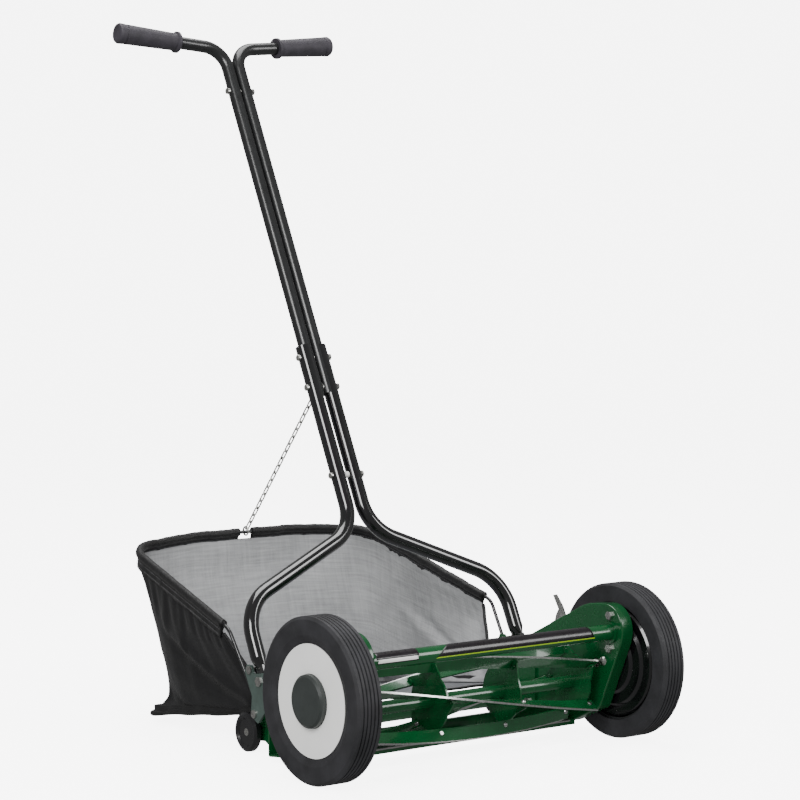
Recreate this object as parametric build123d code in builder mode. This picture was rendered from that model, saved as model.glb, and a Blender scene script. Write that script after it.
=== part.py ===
from build123d import *
import os
from math import acos, atan2, cos, degrees, pi, radians, sin, tan

# A hand-pushed reel mower with a grass catcher.  Millimetres, +Z up.
# X runs along the wheel axle, the reel cuts towards -Y and the operator stands
# at +Y.  The ground is Z = 0 and the origin is under the middle of the box.

os.makedirs("parts", exist_ok=True)

# ---- driving dimensions ----
tyre_radius = 127.0
tyre_width = 45.0
plate_gap = 494.0          # between the side plates' inner faces
plate_to_wheel = 33.0      # from a plate's inner face to the tyre's
wheel_gap = plate_gap + 2 * plate_to_wheel
plate_thick = 3.0
flange_width = 20.0        # how far the side plates' flange stands out

gear_module = 2.0
pinion_teeth = 12
ring_teeth = 56
gear_width = 12.0
pressure_angle = radians(20)
gear_backlash = 0.22       # taken off each flank

reel_radius = 69.0
blade_count = 5
blade_thick = 3.0
blade_depth = 22.0
blade_end_gap = 19.0       # from the blades' ends to the plates
blade_length = plate_gap - 2 * blade_end_gap
blade_twist = 72.0         # one blade's turn from end to end
reel_tube_radius = 10.5
reel_journal_radius = 8.0
spider_count = 4
spider_inset = 9.0         # of the end spiders from the blades' ends
spider_spacing = (blade_length - 2 * spider_inset) / (spider_count - 1)
spider_thick = 3.0

axle_radius = 8.0
tie_bar_radius = 13.0
tie_bar_wall = 2.0

handle_lean = radians(25.8)
lower_tube_radius = 12.5
upper_tube_radius = 11.0
tube_wall = 1.6
foot_spread = plate_gap / 2 + 16.5   # of the lower tubes' feet from the middle
neck_spread = 16.4         # of the lower tubes where they run side by side
mast_spread = 11.8         # of the upper tubes
knee_rise = 126.0          # along the handle, from the foot to the lower bend
shoulder_rise = 237.0      # and to the bend below the neck
joint_bottom = 481.0       # where the upper tubes start
joint_top = 569.0          # where the lower tubes end
mast_top = 1146.0          # where the upper tubes turn out to the grips
grip_start = 103.0
grip_end = 223.0
grip_rise = 0.094          # slope of the grips, up and out
grip_radius = 18.0

roller_radius = 31.5
roller_core_radius = 16.0
roller_end_thick = 17.0

catcher_wire_radius = 3.0
binding_radius = 7.0
bag_wall = 3.0
rim_front_spread = plate_gap / 2 + 23
rim_rear_spread = plate_gap / 2 + 2
floor_front_spread = plate_gap / 2 - 19
floor_rear_spread = plate_gap / 2 - 6
floor_thick = 2.0

chain_wire_radius = 1.3
chain_pitch = 18.0

running_gap = 0.05         # radial, between a shaft and its bore
seat_gap = 0.1             # between pieces that are pushed together
body_gap = 0.4             # between curved faces that move past each other

# ---- places, as (Y, Z) from the wheel axle ----
foot_from_axle = (209.0, -5.0)
tie_bar_from_axle = (-33.5, 54.2)
roller_from_axle = (268.0, -(tyre_radius - roller_radius))
catcher_pin_from_axle = (222.0, -58.0)
rim_front_from_axle = (300.0, 67.0)
rim_rear_from_axle = (660.0, 172.0)
floor_front_from_axle = (232.0, -64.0)
floor_rear_from_axle = (590.0, -113.0)

grip_reach = mast_top + grip_rise * (grip_end - mast_spread)
rear_reach = foot_from_axle[0] + grip_reach * sin(handle_lean) + grip_radius * cos(handle_lean)
axle_y = (tyre_radius - rear_reach) / 2
axle_z = tyre_radius


def from_axle(place):
    return (axle_y + place[0], axle_z + place[1])


reel_distance = gear_module * (ring_teeth - pinion_teeth) / 2
reel_angle = radians(-46.8)
reel_at = from_axle((reel_distance * cos(reel_angle), reel_distance * sin(reel_angle)))
axle_at = (axle_y, axle_z)
tie_bar_at = from_axle(tie_bar_from_axle)
foot_at = from_axle(foot_from_axle)
roller_at = from_axle(roller_from_axle)
catcher_pin_at = from_axle(catcher_pin_from_axle)

# distances from the middle plane, out along X
web_in = plate_gap / 2
web_out = web_in + plate_thick
flange_out = web_out + flange_width
tyre_in = wheel_gap / 2
tyre_out = tyre_in + tyre_width

sides = (("right", -1), ("left", 1))


def side_plane(x):
    """Sketch plane square to X, with Y and Z as its own axes."""
    return Plane.YZ.offset(x)


def turning_plane(at, s):
    """Half-section plane through an X axis: across is outwards, up is the radius."""
    return Plane(origin=(0, at[0], at[1]), x_dir=(s, 0, 0), z_dir=(0, -s, 0))


def turn(at, s, outline):
    """Revolve a half section of (outwards, radius) points about the X axis at `at`."""
    with BuildSketch(turning_plane(at, s)) as section:
        with BuildLine():
            Polyline(outline, close=True)
        make_face()
    revolve(section.sketch, axis=Axis((0, at[0], at[1]), (1, 0, 0)))


def bar(x0, x1, at, radius, bore=0.0, mode=Mode.ADD):
    """A round bar or tube along X."""
    with BuildSketch(side_plane(x0)) as section:
        with Locations(at):
            Circle(radius)
            if bore:
                Circle(bore, mode=Mode.SUBTRACT)
    extrude(section.sketch, amount=x1 - x0, mode=mode)


def hexagon(x0, x1, at, radius, bore=0.0):
    """A hexagon head or nut along X."""
    with BuildSketch(side_plane(x0)) as section:
        with Locations(at):
            RegularPolygon(radius, 6)
            if bore:
                Circle(bore, mode=Mode.SUBTRACT)
    extrude(section.sketch, amount=x1 - x0)


def bore_hole(x0, x1, at, radius):
    bar(x0, x1, at, radius, mode=Mode.SUBTRACT)


def shifted(at, dy, dz):
    return (at[0] + dy, at[1] + dz)


# ---- the bedknife's place under the reel ----
blade_edge_angle = radians(-76)
bedknife_gap = 0.3
edge_y = reel_at[0] + (reel_radius + bedknife_gap) * cos(blade_edge_angle)
edge_z = reel_at[1] + (reel_radius + bedknife_gap) * sin(blade_edge_angle)
bed_blade_thick = 3.0
bed_blade_width = 32.0
bed_bar_width = 42.0
bed_bar_thick = 7.0
bed_bar_rise = 24.0
bed_bar_set_back = 6.0
bed_bar_front = edge_y + bed_bar_set_back
bed_bar_back = bed_bar_front + bed_bar_width
bed_bar_top = edge_z - bed_blade_thick
bed_lug = 15.0
bed_lug_length = 14.0
bed_lug_at = (bed_bar_back - bed_bar_thick - bed_lug / 2, bed_bar_top + bed_lug / 2)
bed_screw_spacing = 90.0
bed_screw_radius = 3.0

# ---- side plates: stamped steel with a flange all round ----
plate_outline = [(189, 16), (26, 95), (-66, 103), (-60, 42), (-7, -74), (64, -106), (189, -121)]
plate_corner_radii = [6, 80, 42, 60, 14, 30, 4]
plate_bend_radius = 2.5

m8_radius = 4.0
m8_head = 7.0
m8_head_thick = 4.5
m8_nut_thick = 5.0
tie_bolt_offset = 27.0
tie_bolts_at = [shifted(tie_bar_at, 1.5, dz) for dz in (-tie_bolt_offset, tie_bolt_offset)]
bearing_radius = 13.0
cup_radius = 16.0
bracket_bolts_at = [from_axle((168, dz)) for dz in (6, -88)]
dust_bolt_at = from_axle((-16, 4.5))
dust_bolt_radius = 4.0


def plate_sketch(inset):
    """The side plate's outline in Y and Z, drawn in by `inset`."""
    points = [from_axle(point) for point in plate_outline]
    with BuildSketch(mode=Mode.PRIVATE) as outline:
        with BuildLine():
            FilletPolyline(points, radius=plate_corner_radii, close=True)
        make_face()
        if inset:
            offset(amount=-inset, kind=Kind.INTERSECTION)
    return outline.sketch


for side, s in sides:
    with BuildPart() as side_plate:
        with BuildSketch(side_plane(s * web_in)):
            add(plate_sketch(0))
        extrude(amount=s * (flange_out - web_in))
        rim_edges = side_plate.faces().sort_by(Axis.X)[0 if s > 0 else -1].edges()
        fillet(rim_edges, plate_bend_radius)
        with BuildSketch(side_plane(s * web_out)):
            add(plate_sketch(plate_thick))
        extrude(amount=s * (flange_out - web_out), mode=Mode.SUBTRACT)
        for at, radius in (
            (axle_at, axle_radius),
            (reel_at, cup_radius),
            (tie_bar_at, tie_bar_radius),
            (dust_bolt_at, dust_bolt_radius),
        ):
            bore_hole(s * web_in, s * web_out, at, radius)
        for at in tie_bolts_at + bracket_bolts_at + [bed_lug_at]:
            bore_hole(s * web_in, s * web_out, at, m8_radius)
    side_plate.part.label = f"side_plate_{side}"
    export_step(side_plate.part, f"parts/side_plate_{side}.step")

# ---- tie bar between the plates, with a bolted flange outside each plate ----
tie_flange_thick = 3.0
tie_flange_radius = 11.0
tie_collar_radius = 17.5
tie_collar_thick = 4.0
with BuildPart() as tie_bar:
    bar(-web_out, web_out, tie_bar_at, tie_bar_radius, tie_bar_radius - tie_bar_wall)
    for side, s in sides:
        bar(s * (web_in - tie_collar_thick), s * web_in, tie_bar_at, tie_collar_radius,
            tie_bar_radius - tie_bar_wall)
tie_bar.part.label = "tie_bar"
export_step(tie_bar.part, "parts/tie_bar.step")

with BuildPart() as tie_bar_flanges:
    for side, s in sides:
        with BuildSketch(side_plane(s * web_out)):
            with Locations(shifted(tie_bar_at, 1.5, 0)):
                SlotCenterToCenter(2 * tie_bolt_offset, 2 * tie_flange_radius, rotation=90)
            for at in tie_bolts_at:
                with Locations(at):
                    Circle(m8_radius, mode=Mode.SUBTRACT)
        extrude(amount=s * tie_flange_thick)
tie_bar_flanges.part.label = "tie_bar_flanges"
export_step(tie_bar_flanges.part, "parts/tie_bar_flanges.step")

# ---- brackets behind each plate for the handle, the roller and the catcher ----
inner_bracket_thick = 4.0
inner_bracket_in = web_in - inner_bracket_thick
outer_bracket_thick = 4.0
outer_bracket_in = flange_out
outer_bracket_out = outer_bracket_in + outer_bracket_thick
pivot_radius = 5.0
pin_radius = 4.0
slot_bolt_radius = 3.0
slot_gap = 0.2
roller_drop = 12.0         # the roller's travel down from where it stands
roller_lift = 7.0          # and up
slot_bolts_at = [from_axle((205, dz)) for dz in (-60, -94)]
stop_at = shifted(foot_at,
                  25 * sin(handle_lean) + (lower_tube_radius + pin_radius + body_gap) * cos(handle_lean),
                  25 * cos(handle_lean) - (lower_tube_radius + pin_radius + body_gap) * sin(handle_lean))
inner_bracket_outline = [(150, 14), (204, 9), (226, 5), (231, 18), (243, 18), (249, 6),
                         (232, -40), (232, -106), (216, -114), (150, -100)]
outer_bracket_outline = [(140, 8), (178, 10), (204, 9), (226, 5), (231, 18), (243, 18),
                         (249, 6), (229, -30), (232, -62), (212, -72), (172, -30)]

with BuildPart() as rear_brackets:
    for side, s in sides:
        with BuildSketch(side_plane(s * inner_bracket_in)):
            with BuildLine():
                FilletPolyline([from_axle(p) for p in inner_bracket_outline], radius=3.5, close=True)
            make_face()
            for at in bracket_bolts_at:
                with Locations(at):
                    Circle(m8_radius, mode=Mode.SUBTRACT)
            with Locations(foot_at):
                Circle(pivot_radius, mode=Mode.SUBTRACT)
            for at in (stop_at, catcher_pin_at):
                with Locations(at):
                    Circle(pin_radius, mode=Mode.SUBTRACT)
            for at in slot_bolts_at:
                with Locations(shifted(at, 0, (roller_lift - roller_drop) / 2)):
                    SlotCenterToCenter(roller_lift + roller_drop, 2 * (slot_bolt_radius + slot_gap),
                                       rotation=90, mode=Mode.SUBTRACT)
        extrude(amount=s * inner_bracket_thick)
rear_brackets.part.label = "rear_brackets"
export_step(rear_brackets.part, "parts/rear_brackets.step")

with BuildPart() as handle_brackets:
    for side, s in sides:
        with BuildSketch(side_plane(s * outer_bracket_in)):
            with BuildLine():
                FilletPolyline([from_axle(p) for p in outer_bracket_outline], radius=3.5, close=True)
            make_face()
            with Locations(foot_at):
                Circle(pivot_radius, mode=Mode.SUBTRACT)
            for at in (stop_at, catcher_pin_at):
                with Locations(at):
                    Circle(pin_radius, mode=Mode.SUBTRACT)
        extrude(amount=s * outer_bracket_thick)
handle_brackets.part.label = "handle_brackets"
export_step(handle_brackets.part, "parts/handle_brackets.step")

# studs that stop the handle and carry the catcher, riveted through both brackets
stud_head = 6.5
stud_head_thick = 2.5
with BuildPart() as bracket_studs:
    for side, s in sides:
        for at in (stop_at, catcher_pin_at):
            bar(s * inner_bracket_in, s * outer_bracket_out, at, pin_radius)
            bar(s * outer_bracket_out, s * (outer_bracket_out + stud_head_thick), at, stud_head)
bracket_studs.part.label = "bracket_studs"
export_step(bracket_studs.part, "parts/bracket_studs.step")

# ---- the handle's pivot bolts, with a spacer each side of the tube's eye ----
eye_thick = 9.0
eye_gap = 0.3
eye_in = foot_spread - eye_thick / 2
eye_out = foot_spread + eye_thick / 2
pivot_head = 8.5
pivot_head_thick = 2.5
spacer_radius = 8.0
with BuildPart() as handle_pivot_bolts:
    for side, s in sides:
        bar(s * (inner_bracket_in - 1), s * outer_bracket_out, foot_at, pivot_radius)
        hexagon(s * outer_bracket_out, s * (outer_bracket_out + pivot_head_thick), foot_at, pivot_head)
handle_pivot_bolts.part.label = "handle_pivot_bolts"
export_step(handle_pivot_bolts.part, "parts/handle_pivot_bolts.step")

with BuildPart() as handle_pivot_spacers:
    for side, s in sides:
        bar(s * web_in, s * (eye_in - eye_gap), foot_at, spacer_radius, pivot_radius)
        bar(s * (eye_out + eye_gap), s * outer_bracket_in, foot_at, spacer_radius, pivot_radius)
handle_pivot_spacers.part.label = "handle_pivot_spacers"
export_step(handle_pivot_spacers.part, "parts/handle_pivot_spacers.step")

# ---- bedknife: an angle bar with a hardened blade on it ----
with BuildPart() as bedknife_bar:
    with BuildSketch(side_plane(-web_in)):
        with BuildLine():
            Polyline([
                (bed_bar_front, bed_bar_top),
                (bed_bar_front, bed_bar_top - bed_bar_thick),
                (bed_bar_back, bed_bar_top - bed_bar_thick),
                (bed_bar_back, bed_bar_top + bed_bar_rise),
                (bed_bar_back - bed_bar_thick, bed_bar_top + bed_bar_rise),
                (bed_bar_back - bed_bar_thick, bed_bar_top),
            ], close=True)
        make_face()
    extrude(amount=2 * web_in)
    for side, s in sides:
        with BuildSketch(side_plane(s * web_in)):
            with Locations(bed_lug_at):
                Rectangle(bed_lug, bed_lug)
                Circle(m8_radius, mode=Mode.SUBTRACT)
        extrude(amount=-s * bed_lug_length)
    with Locations(Plane(origin=(0, bed_bar_front + 12, bed_bar_top), z_dir=(0, 0, 1))):
        with GridLocations(bed_screw_spacing, 1, 5, 1):
            Hole(bed_screw_radius, bed_bar_thick)
bedknife_bar.part.label = "bedknife_bar"
export_step(bedknife_bar.part, "parts/bedknife_bar.step")

with BuildPart() as bedknife_blade:
    with BuildSketch(Plane.XY.offset(bed_bar_top)):
        with Locations((0, edge_y + bed_blade_width / 2)):
            Rectangle(2 * (web_in - bed_lug_length - 1), bed_blade_width)
    extrude(amount=bed_blade_thick)
    front_bottom = bedknife_blade.edges().filter_by(Axis.X).sort_by(Axis.Y)[:2].sort_by(Axis.Z)[0]
    chamfer(front_bottom, bed_blade_thick * 0.6)
    with Locations(Plane(origin=(0, bed_bar_front + 12, edge_z), z_dir=(0, 0, 1))):
        with GridLocations(bed_screw_spacing, 1, 5, 1):
            CounterSinkHole(bed_screw_radius, 2 * bed_screw_radius, bed_blade_thick)
bedknife_blade.part.label = "bedknife_blade"
export_step(bedknife_blade.part, "parts/bedknife_blade.step")

with BuildPart() as bedknife_screws:
    with Locations(Plane(origin=(0, bed_bar_front + 12, edge_z), z_dir=(0, 0, 1))):
        with GridLocations(bed_screw_spacing, 1, 5, 1):
            Cylinder(bed_screw_radius - seat_gap, bed_blade_thick + bed_bar_thick - 1,
                     align=(Align.CENTER, Align.CENTER, Align.MAX))
            Cone(bed_screw_radius - seat_gap, 2 * bed_screw_radius - seat_gap, bed_screw_radius - seat_gap,
                 align=(Align.CENTER, Align.CENTER, Align.MAX))
bedknife_screws.part.label = "bedknife_screws"
export_step(bedknife_screws.part, "parts/bedknife_screws.step")

# ---- bolts and nuts through the plates ----
with BuildPart() as plate_bolts:
    for side, s in sides:
        for at in tie_bolts_at:
            bar(s * web_in, s * (web_out + tie_flange_thick + m8_nut_thick), at, m8_radius)
            hexagon(s * (web_in - m8_head_thick), s * web_in, at, m8_head)
        for at in bracket_bolts_at:
            bar(s * inner_bracket_in, s * (web_out + m8_nut_thick), at, m8_radius)
            hexagon(s * (inner_bracket_in - m8_head_thick), s * inner_bracket_in, at, m8_head)
        bar(s * (web_in - bed_lug_length), s * web_out, bed_lug_at, m8_radius)
        hexagon(s * web_out, s * (web_out + m8_head_thick), bed_lug_at, m8_head)
plate_bolts.part.label = "plate_bolts"
export_step(plate_bolts.part, "parts/plate_bolts.step")

with BuildPart() as plate_nuts:
    for side, s in sides:
        for at in tie_bolts_at:
            nut_seat = web_out + tie_flange_thick
            hexagon(s * nut_seat, s * (nut_seat + m8_nut_thick), at, m8_head, m8_radius)
        for at in bracket_bolts_at:
            hexagon(s * web_out, s * (web_out + m8_nut_thick), at, m8_head, m8_radius)
plate_nuts.part.label = "plate_nuts"
export_step(plate_nuts.part, "parts/plate_nuts.step")

# ---- stub axles, riveted through the plates ----
axle_foot_radius = 19.0
axle_foot_thick = 4.0
axle_shoulder_radius = 12.0
cover_seat = web_out + 22.0
hub_in = tyre_in + 4.0
hub_boss_out = tyre_out - 13.0
clip_thick = 1.2
washer_thick = 1.0
washer_in = hub_boss_out + 0.3
clip_in = washer_in + washer_thick
axle_end = clip_in + clip_thick + 3.0
clip_depth = 1.5
axle_profile = [
    (web_in, 0),
    (web_in, axle_radius),
    (web_out, axle_radius),
    (web_out, axle_foot_radius),
    (web_out + axle_foot_thick, axle_foot_radius),
    (web_out + axle_foot_thick, axle_shoulder_radius),
    (cover_seat + 4, axle_shoulder_radius),
    (cover_seat + 4, axle_radius),
    (clip_in, axle_radius),
    (clip_in, axle_radius - clip_depth),
    (clip_in + clip_thick, axle_radius - clip_depth),
    (clip_in + clip_thick, axle_radius),
    (axle_end - 1, axle_radius),
    (axle_end, axle_radius - 1),
    (axle_end, 0),
]
with BuildPart() as stub_axles:
    for side, s in sides:
        turn(axle_at, s, axle_profile)
        bore_hole(s * web_out, s * (web_out + axle_foot_thick), dust_bolt_at, dust_bolt_radius)
stub_axles.part.label = "stub_axles"
export_step(stub_axles.part, "parts/stub_axles.step")

with BuildPart() as axle_clips:
    for side, s in sides:
        with BuildSketch(side_plane(s * clip_in)):
            with Locations(axle_at):
                Circle(axle_radius + 4)
                Circle(axle_radius - clip_depth, mode=Mode.SUBTRACT)
                with Locations((0, -axle_radius)):
                    Rectangle(1.3 * axle_radius, 2 * axle_radius, mode=Mode.SUBTRACT)
        extrude(amount=s * clip_thick)
axle_clips.part.label = "axle_clips"
export_step(axle_clips.part, "parts/axle_clips.step")

with BuildPart() as axle_washers:
    for side, s in sides:
        bar(s * washer_in, s * (washer_in + washer_thick), axle_at, axle_radius + 6, axle_radius)
axle_washers.part.label = "axle_washers"
export_step(axle_washers.part, "parts/axle_washers.step")

# ---- the reel's bearings in their cups ----
bearing_width = 8.0
bearing_in = web_in - 1.0
cup_flange_radius = 23.0
with BuildPart() as reel_bearings:
    for side, s in sides:
        bar(s * bearing_in, s * (bearing_in + bearing_width), reel_at, bearing_radius,
            reel_journal_radius + running_gap)
reel_bearings.part.label = "reel_bearings"
export_step(reel_bearings.part, "parts/reel_bearings.step")

with BuildPart() as bearing_cups:
    for side, s in sides:
        turn(reel_at, s, [
            (bearing_in, bearing_radius),
            (bearing_in, cup_radius),
            (web_out, cup_radius),
            (web_out, cup_flange_radius),
            (web_out + 2, cup_flange_radius),
            (web_out + 4, cup_radius),
            (bearing_in + bearing_width + 2, cup_radius),
            (bearing_in + bearing_width + 2, reel_journal_radius + 1),
            (bearing_in + bearing_width, reel_journal_radius + 1),
            (bearing_in + bearing_width, bearing_radius),
        ])
bearing_cups.part.label = "bearing_cups"
export_step(bearing_cups.part, "parts/bearing_cups.step")

# ---- dust covers: stepped dishes that close the wheels' inner sides ----
cover_radius = 91.0
cover_thick = 2.0
cover_steps = [(50, 0), (54, 5), (70, 5), (74, 10), (cover_radius - 3, 10), (cover_radius, 13)]
cover_lip = 15.0
ring_outer = gear_module * ring_teeth / 2 + 8
cover_front = [(cover_seat, axle_shoulder_radius)]
cover_front += [(cover_seat + step, radius) for radius, step in cover_steps]
cover_front += [(cover_seat + cover_lip, cover_radius)]
cover_back = [(cover_seat + cover_lip, cover_radius - cover_thick)]
cover_back += [(cover_seat + cover_thick + step, radius - cover_thick / 2)
               for radius, step in reversed(cover_steps[:-1])]
cover_back += [(cover_seat + cover_thick, axle_shoulder_radius)]
with BuildPart() as dust_covers:
    for side, s in sides:
        turn(axle_at, s, cover_front + cover_back)
        bore_hole(s * cover_seat, s * (cover_seat + cover_lip), reel_at, reel_journal_radius + 3)
        bore_hole(s * cover_seat, s * (cover_seat + cover_lip), dust_bolt_at, dust_bolt_radius)
dust_covers.part.label = "dust_covers"
export_step(dust_covers.part, "parts/dust_covers.step")

with BuildPart() as cover_bolts:
    for side, s in sides:
        turn(dust_bolt_at, s, [
            (web_in - 5, 0),
            (web_in - 4.5, 3.5),
            (web_in - 3, 6),
            (web_in, 7.5),
            (web_in, dust_bolt_radius),
            (cover_seat + cover_thick, dust_bolt_radius),
            (cover_seat + cover_thick + 1.5, dust_bolt_radius - 1),
            (cover_seat + cover_thick + 1.5, 0),
        ])
cover_bolts.part.label = "cover_bolts"
export_step(cover_bolts.part, "parts/cover_bolts.step")

# ---- gears ----


def involute(angle):
    return tan(angle) - angle


def tooth_half_angle(teeth, radius, shift):
    """Half the angle that a tooth covers at a radius, with `shift` added to each flank."""
    pitch_radius = gear_module * teeth / 2
    base_radius = pitch_radius * cos(pressure_angle)
    flank_angle = acos(base_radius / max(radius, base_radius))
    return pi / (2 * teeth) + involute(pressure_angle) - involute(flank_angle) + shift / radius


def gear_points(at, teeth, root, tip, shift, phase):
    """The outline of an external gear about `at`, tooth 0 at angle `phase`."""
    flank = [root + (tip - root) * step / 5 for step in range(6)]
    points = []
    for tooth in range(teeth):
        middle = phase + 2 * pi * tooth / teeth
        for radius in flank:
            angle = middle - tooth_half_angle(teeth, radius, shift)
            points.append(shifted(at, radius * cos(angle), radius * sin(angle)))
        for radius in reversed(flank):
            angle = middle + tooth_half_angle(teeth, radius, shift)
            points.append(shifted(at, radius * cos(angle), radius * sin(angle)))
    return points


ring_root = gear_module * (ring_teeth / 2 + 1.25)
ring_tip = gear_module * (ring_teeth / 2 - 0.7)
pinion_root = gear_module * (pinion_teeth / 2 - 1.25)
pinion_tip = gear_module * (pinion_teeth / 2 + 0.8)
ring_in = hub_in + 4.0
web_plate_in = tyre_out - 19.0
web_plate_thick = 4.0
pinion_in = ring_in + 1.0
pinion_out = pinion_in + gear_width

# ---- wheels: a tyre on a moulded hub, a pale disc and a cap ----
groove_count = 5
groove_width = 2.4
groove_depth = 2.4
groove_pitch = 6.6
rim_outer = 97.0
rim_inner = 93.5
disc_radius = 86.0
disc_hole = 41.2
disc_thick = 2.0
disc_out = tyre_out - 4.0
rim_out = disc_out - disc_thick - 0.5
cap_radius = 40.7
cap_out = disc_out + 10.0
cap_wall = 2.0
tread = [(tyre_in, tyre_radius - 4), (tyre_in + 3, tyre_radius)]
for groove in range(groove_count):
    middle = (tyre_in + tyre_out) / 2 + (groove - (groove_count - 1) / 2) * groove_pitch
    tread += [
        (middle - groove_width / 2, tyre_radius),
        (middle - groove_width / 4, tyre_radius - groove_depth),
        (middle + groove_width / 4, tyre_radius - groove_depth),
        (middle + groove_width / 2, tyre_radius),
    ]
tread += [(tyre_out - 3, tyre_radius), (tyre_out, tyre_radius - 5)]
sidewall = [
    (tyre_out, rim_outer + 1),
    (tyre_out - 1, rim_outer - 2),
    (disc_out, disc_radius + 1),
    (rim_out, disc_radius + 1),
    (rim_out, rim_outer),
    (tyre_in, rim_outer),
]

for side, s in sides:
    with BuildPart() as tyre:
        turn(axle_at, s, tread + sidewall)
    tyre.part.label = f"tyre_{side}"
    export_step(tyre.part, f"parts/tyre_{side}.step")

    with BuildPart() as wheel_hub:
        turn(axle_at, s, [
            (hub_in, axle_radius + running_gap),
            (hub_in, axle_radius + 8),
            (web_plate_in, axle_radius + 10),
            (web_plate_in, rim_inner - 4),
            (web_plate_in - 6, rim_inner),
            (hub_in, rim_inner),
            (hub_in, rim_outer),
            (rim_out, rim_outer),
            (rim_out, rim_inner),
            (web_plate_in + web_plate_thick, rim_inner - 2),
            (web_plate_in + web_plate_thick, disc_radius - 2),
            (disc_out - disc_thick, disc_radius - 2),
            (disc_out - disc_thick, disc_radius - 5),
            (web_plate_in + web_plate_thick, disc_radius - 5),
            (web_plate_in + web_plate_thick, cap_radius + 5),
            (disc_out - disc_thick, cap_radius + 5),
            (disc_out - disc_thick, cap_radius - 4),
            (web_plate_in + web_plate_thick, cap_radius - 5),
            (web_plate_in + web_plate_thick, axle_radius + 10),
            (hub_boss_out, axle_radius + 8),
            (hub_boss_out, axle_radius + running_gap),
        ])
        with BuildSketch(side_plane(s * ring_in)):
            with Locations(axle_at):
                Circle(ring_outer)
            with BuildLine():
                Polyline(gear_points(axle_at, ring_teeth, ring_tip, ring_root, gear_backlash / 2,
                                     reel_angle), close=True)
            make_face(mode=Mode.SUBTRACT)
        extrude(amount=s * (web_plate_in - ring_in))
    wheel_hub.part.label = f"wheel_hub_{side}"
    export_step(wheel_hub.part, f"parts/wheel_hub_{side}.step")

    with BuildPart() as wheel_disc:
        bar(s * (disc_out - disc_thick), s * disc_out, axle_at, disc_radius, disc_hole)
    wheel_disc.part.label = f"wheel_disc_{side}"
    export_step(wheel_disc.part, f"parts/wheel_disc_{side}.step")

    with BuildPart() as hub_cap:
        turn(axle_at, s, [
            (disc_out - disc_thick, cap_radius),
            (cap_out - 3, cap_radius - 0.5),
            (cap_out, cap_radius - 4),
            (cap_out, 0),
            (cap_out - cap_wall, 0),
            (cap_out - cap_wall, cap_radius - 5),
            (cap_out - 4, cap_radius - 3.5),
            (disc_out - disc_thick, cap_radius - 3),
        ])
    hub_cap.part.label = f"hub_cap_{side}"
    export_step(hub_cap.part, f"parts/hub_cap_{side}.step")

# ---- the reel: shaft, star discs, twisted blades and rivets ----
shaft_end = pinion_out + 3.0
tube_end = bearing_in - 1.5
spider_radius = reel_radius - 22
ear_top = reel_radius - 8
ear_gap = 0.8
ear_thick = 3.0
ear_length = 8.0
blade_stations = 9
rivet_radius = 2.0
rivet_head = 4.0
blade_tip = reel_radius - 0.1
blade_foot = blade_tip - blade_depth
spider_top = min(spider_radius, blade_foot - 0.3)
first_blade_angle = 0.0


def blade_angle(blade, x):
    """The angle of a blade about the reel's axis, in degrees from +Y towards +Z."""
    return first_blade_angle + blade * 360 / blade_count + blade_twist * (x / blade_length - 0.5)


def reel_plane(x, angle):
    """Across the shaft at x, with its X axis out along `angle` (degrees)."""
    a = radians(angle)
    return Plane(origin=(x, reel_at[0], reel_at[1]), x_dir=(0, cos(a), sin(a)), z_dir=(1, 0, 0))


spiders_at = [(index - (spider_count - 1) / 2) * spider_spacing for index in range(spider_count)]

with BuildPart() as reel_shaft:
    bar(-tube_end, tube_end, reel_at, reel_tube_radius)
    bar(-shaft_end, shaft_end, reel_at, reel_journal_radius)
reel_shaft.part.label = "reel_shaft"
export_step(reel_shaft.part, "parts/reel_shaft.step")

ear_in = blade_thick / 2 + ear_gap
with BuildPart() as reel_spiders:
    for x in spiders_at:
        with BuildSketch(side_plane(x - spider_thick / 2)):
            with Locations(reel_at):
                Circle(spider_top)
                Circle(reel_tube_radius, mode=Mode.SUBTRACT)
        extrude(amount=spider_thick)
        for blade in range(blade_count):
            with BuildSketch(reel_plane(x - spider_thick / 2, blade_angle(blade, x))):
                with BuildLine():
                    Polyline([
                        (reel_tube_radius + 8, ear_in),
                        (ear_top, ear_in),
                        (ear_top, ear_in + 5),
                        (spider_top - 4, ear_in + 20),
                    ], close=True)
                make_face()
            extrude(amount=spider_thick)
            with BuildSketch(reel_plane(x - ear_length / 2, blade_angle(blade, x))):
                with Locations(((blade_foot + ear_top) / 2, ear_in + ear_thick / 2)):
                    Rectangle(ear_top - blade_foot, ear_thick)
            extrude(amount=ear_length)
reel_spiders.part.label = "reel_spiders"
export_step(reel_spiders.part, "parts/reel_spiders.step")

for blade in range(blade_count):
    with BuildPart() as reel_blade:
        for station in range(blade_stations):
            x = blade_length * (station / (blade_stations - 1) - 0.5)
            with BuildSketch(reel_plane(x, blade_angle(blade, x))):
                with Locations(((blade_foot + blade_tip) / 2, 0)):
                    Rectangle(blade_depth, blade_thick)
        loft()
    reel_blade.part.label = f"reel_blade_{blade + 1}"
    export_step(reel_blade.part, f"parts/reel_blade_{blade + 1}.step")

with BuildPart() as reel_rivets:
    for x in spiders_at:
        for blade in range(blade_count):
            angle = radians(blade_angle(blade, x))
            radius = (blade_foot + ear_top) / 2
            across = Vector(0, -sin(angle), cos(angle))
            middle = Vector(x, reel_at[0] + radius * cos(angle), reel_at[1] + radius * sin(angle))
            with BuildSketch(Plane(origin=middle - across * (blade_thick / 2 + 0.4), z_dir=across)):
                Circle(rivet_radius)
            extrude(amount=blade_thick + ear_gap + ear_thick + 1.5)
            with BuildSketch(Plane(origin=middle - across * (blade_thick / 2 + 0.4), z_dir=-across)):
                Circle(rivet_head)
            extrude(amount=1.6, taper=30)
reel_rivets.part.label = "reel_rivets"
export_step(reel_rivets.part, "parts/reel_rivets.step")

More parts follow.
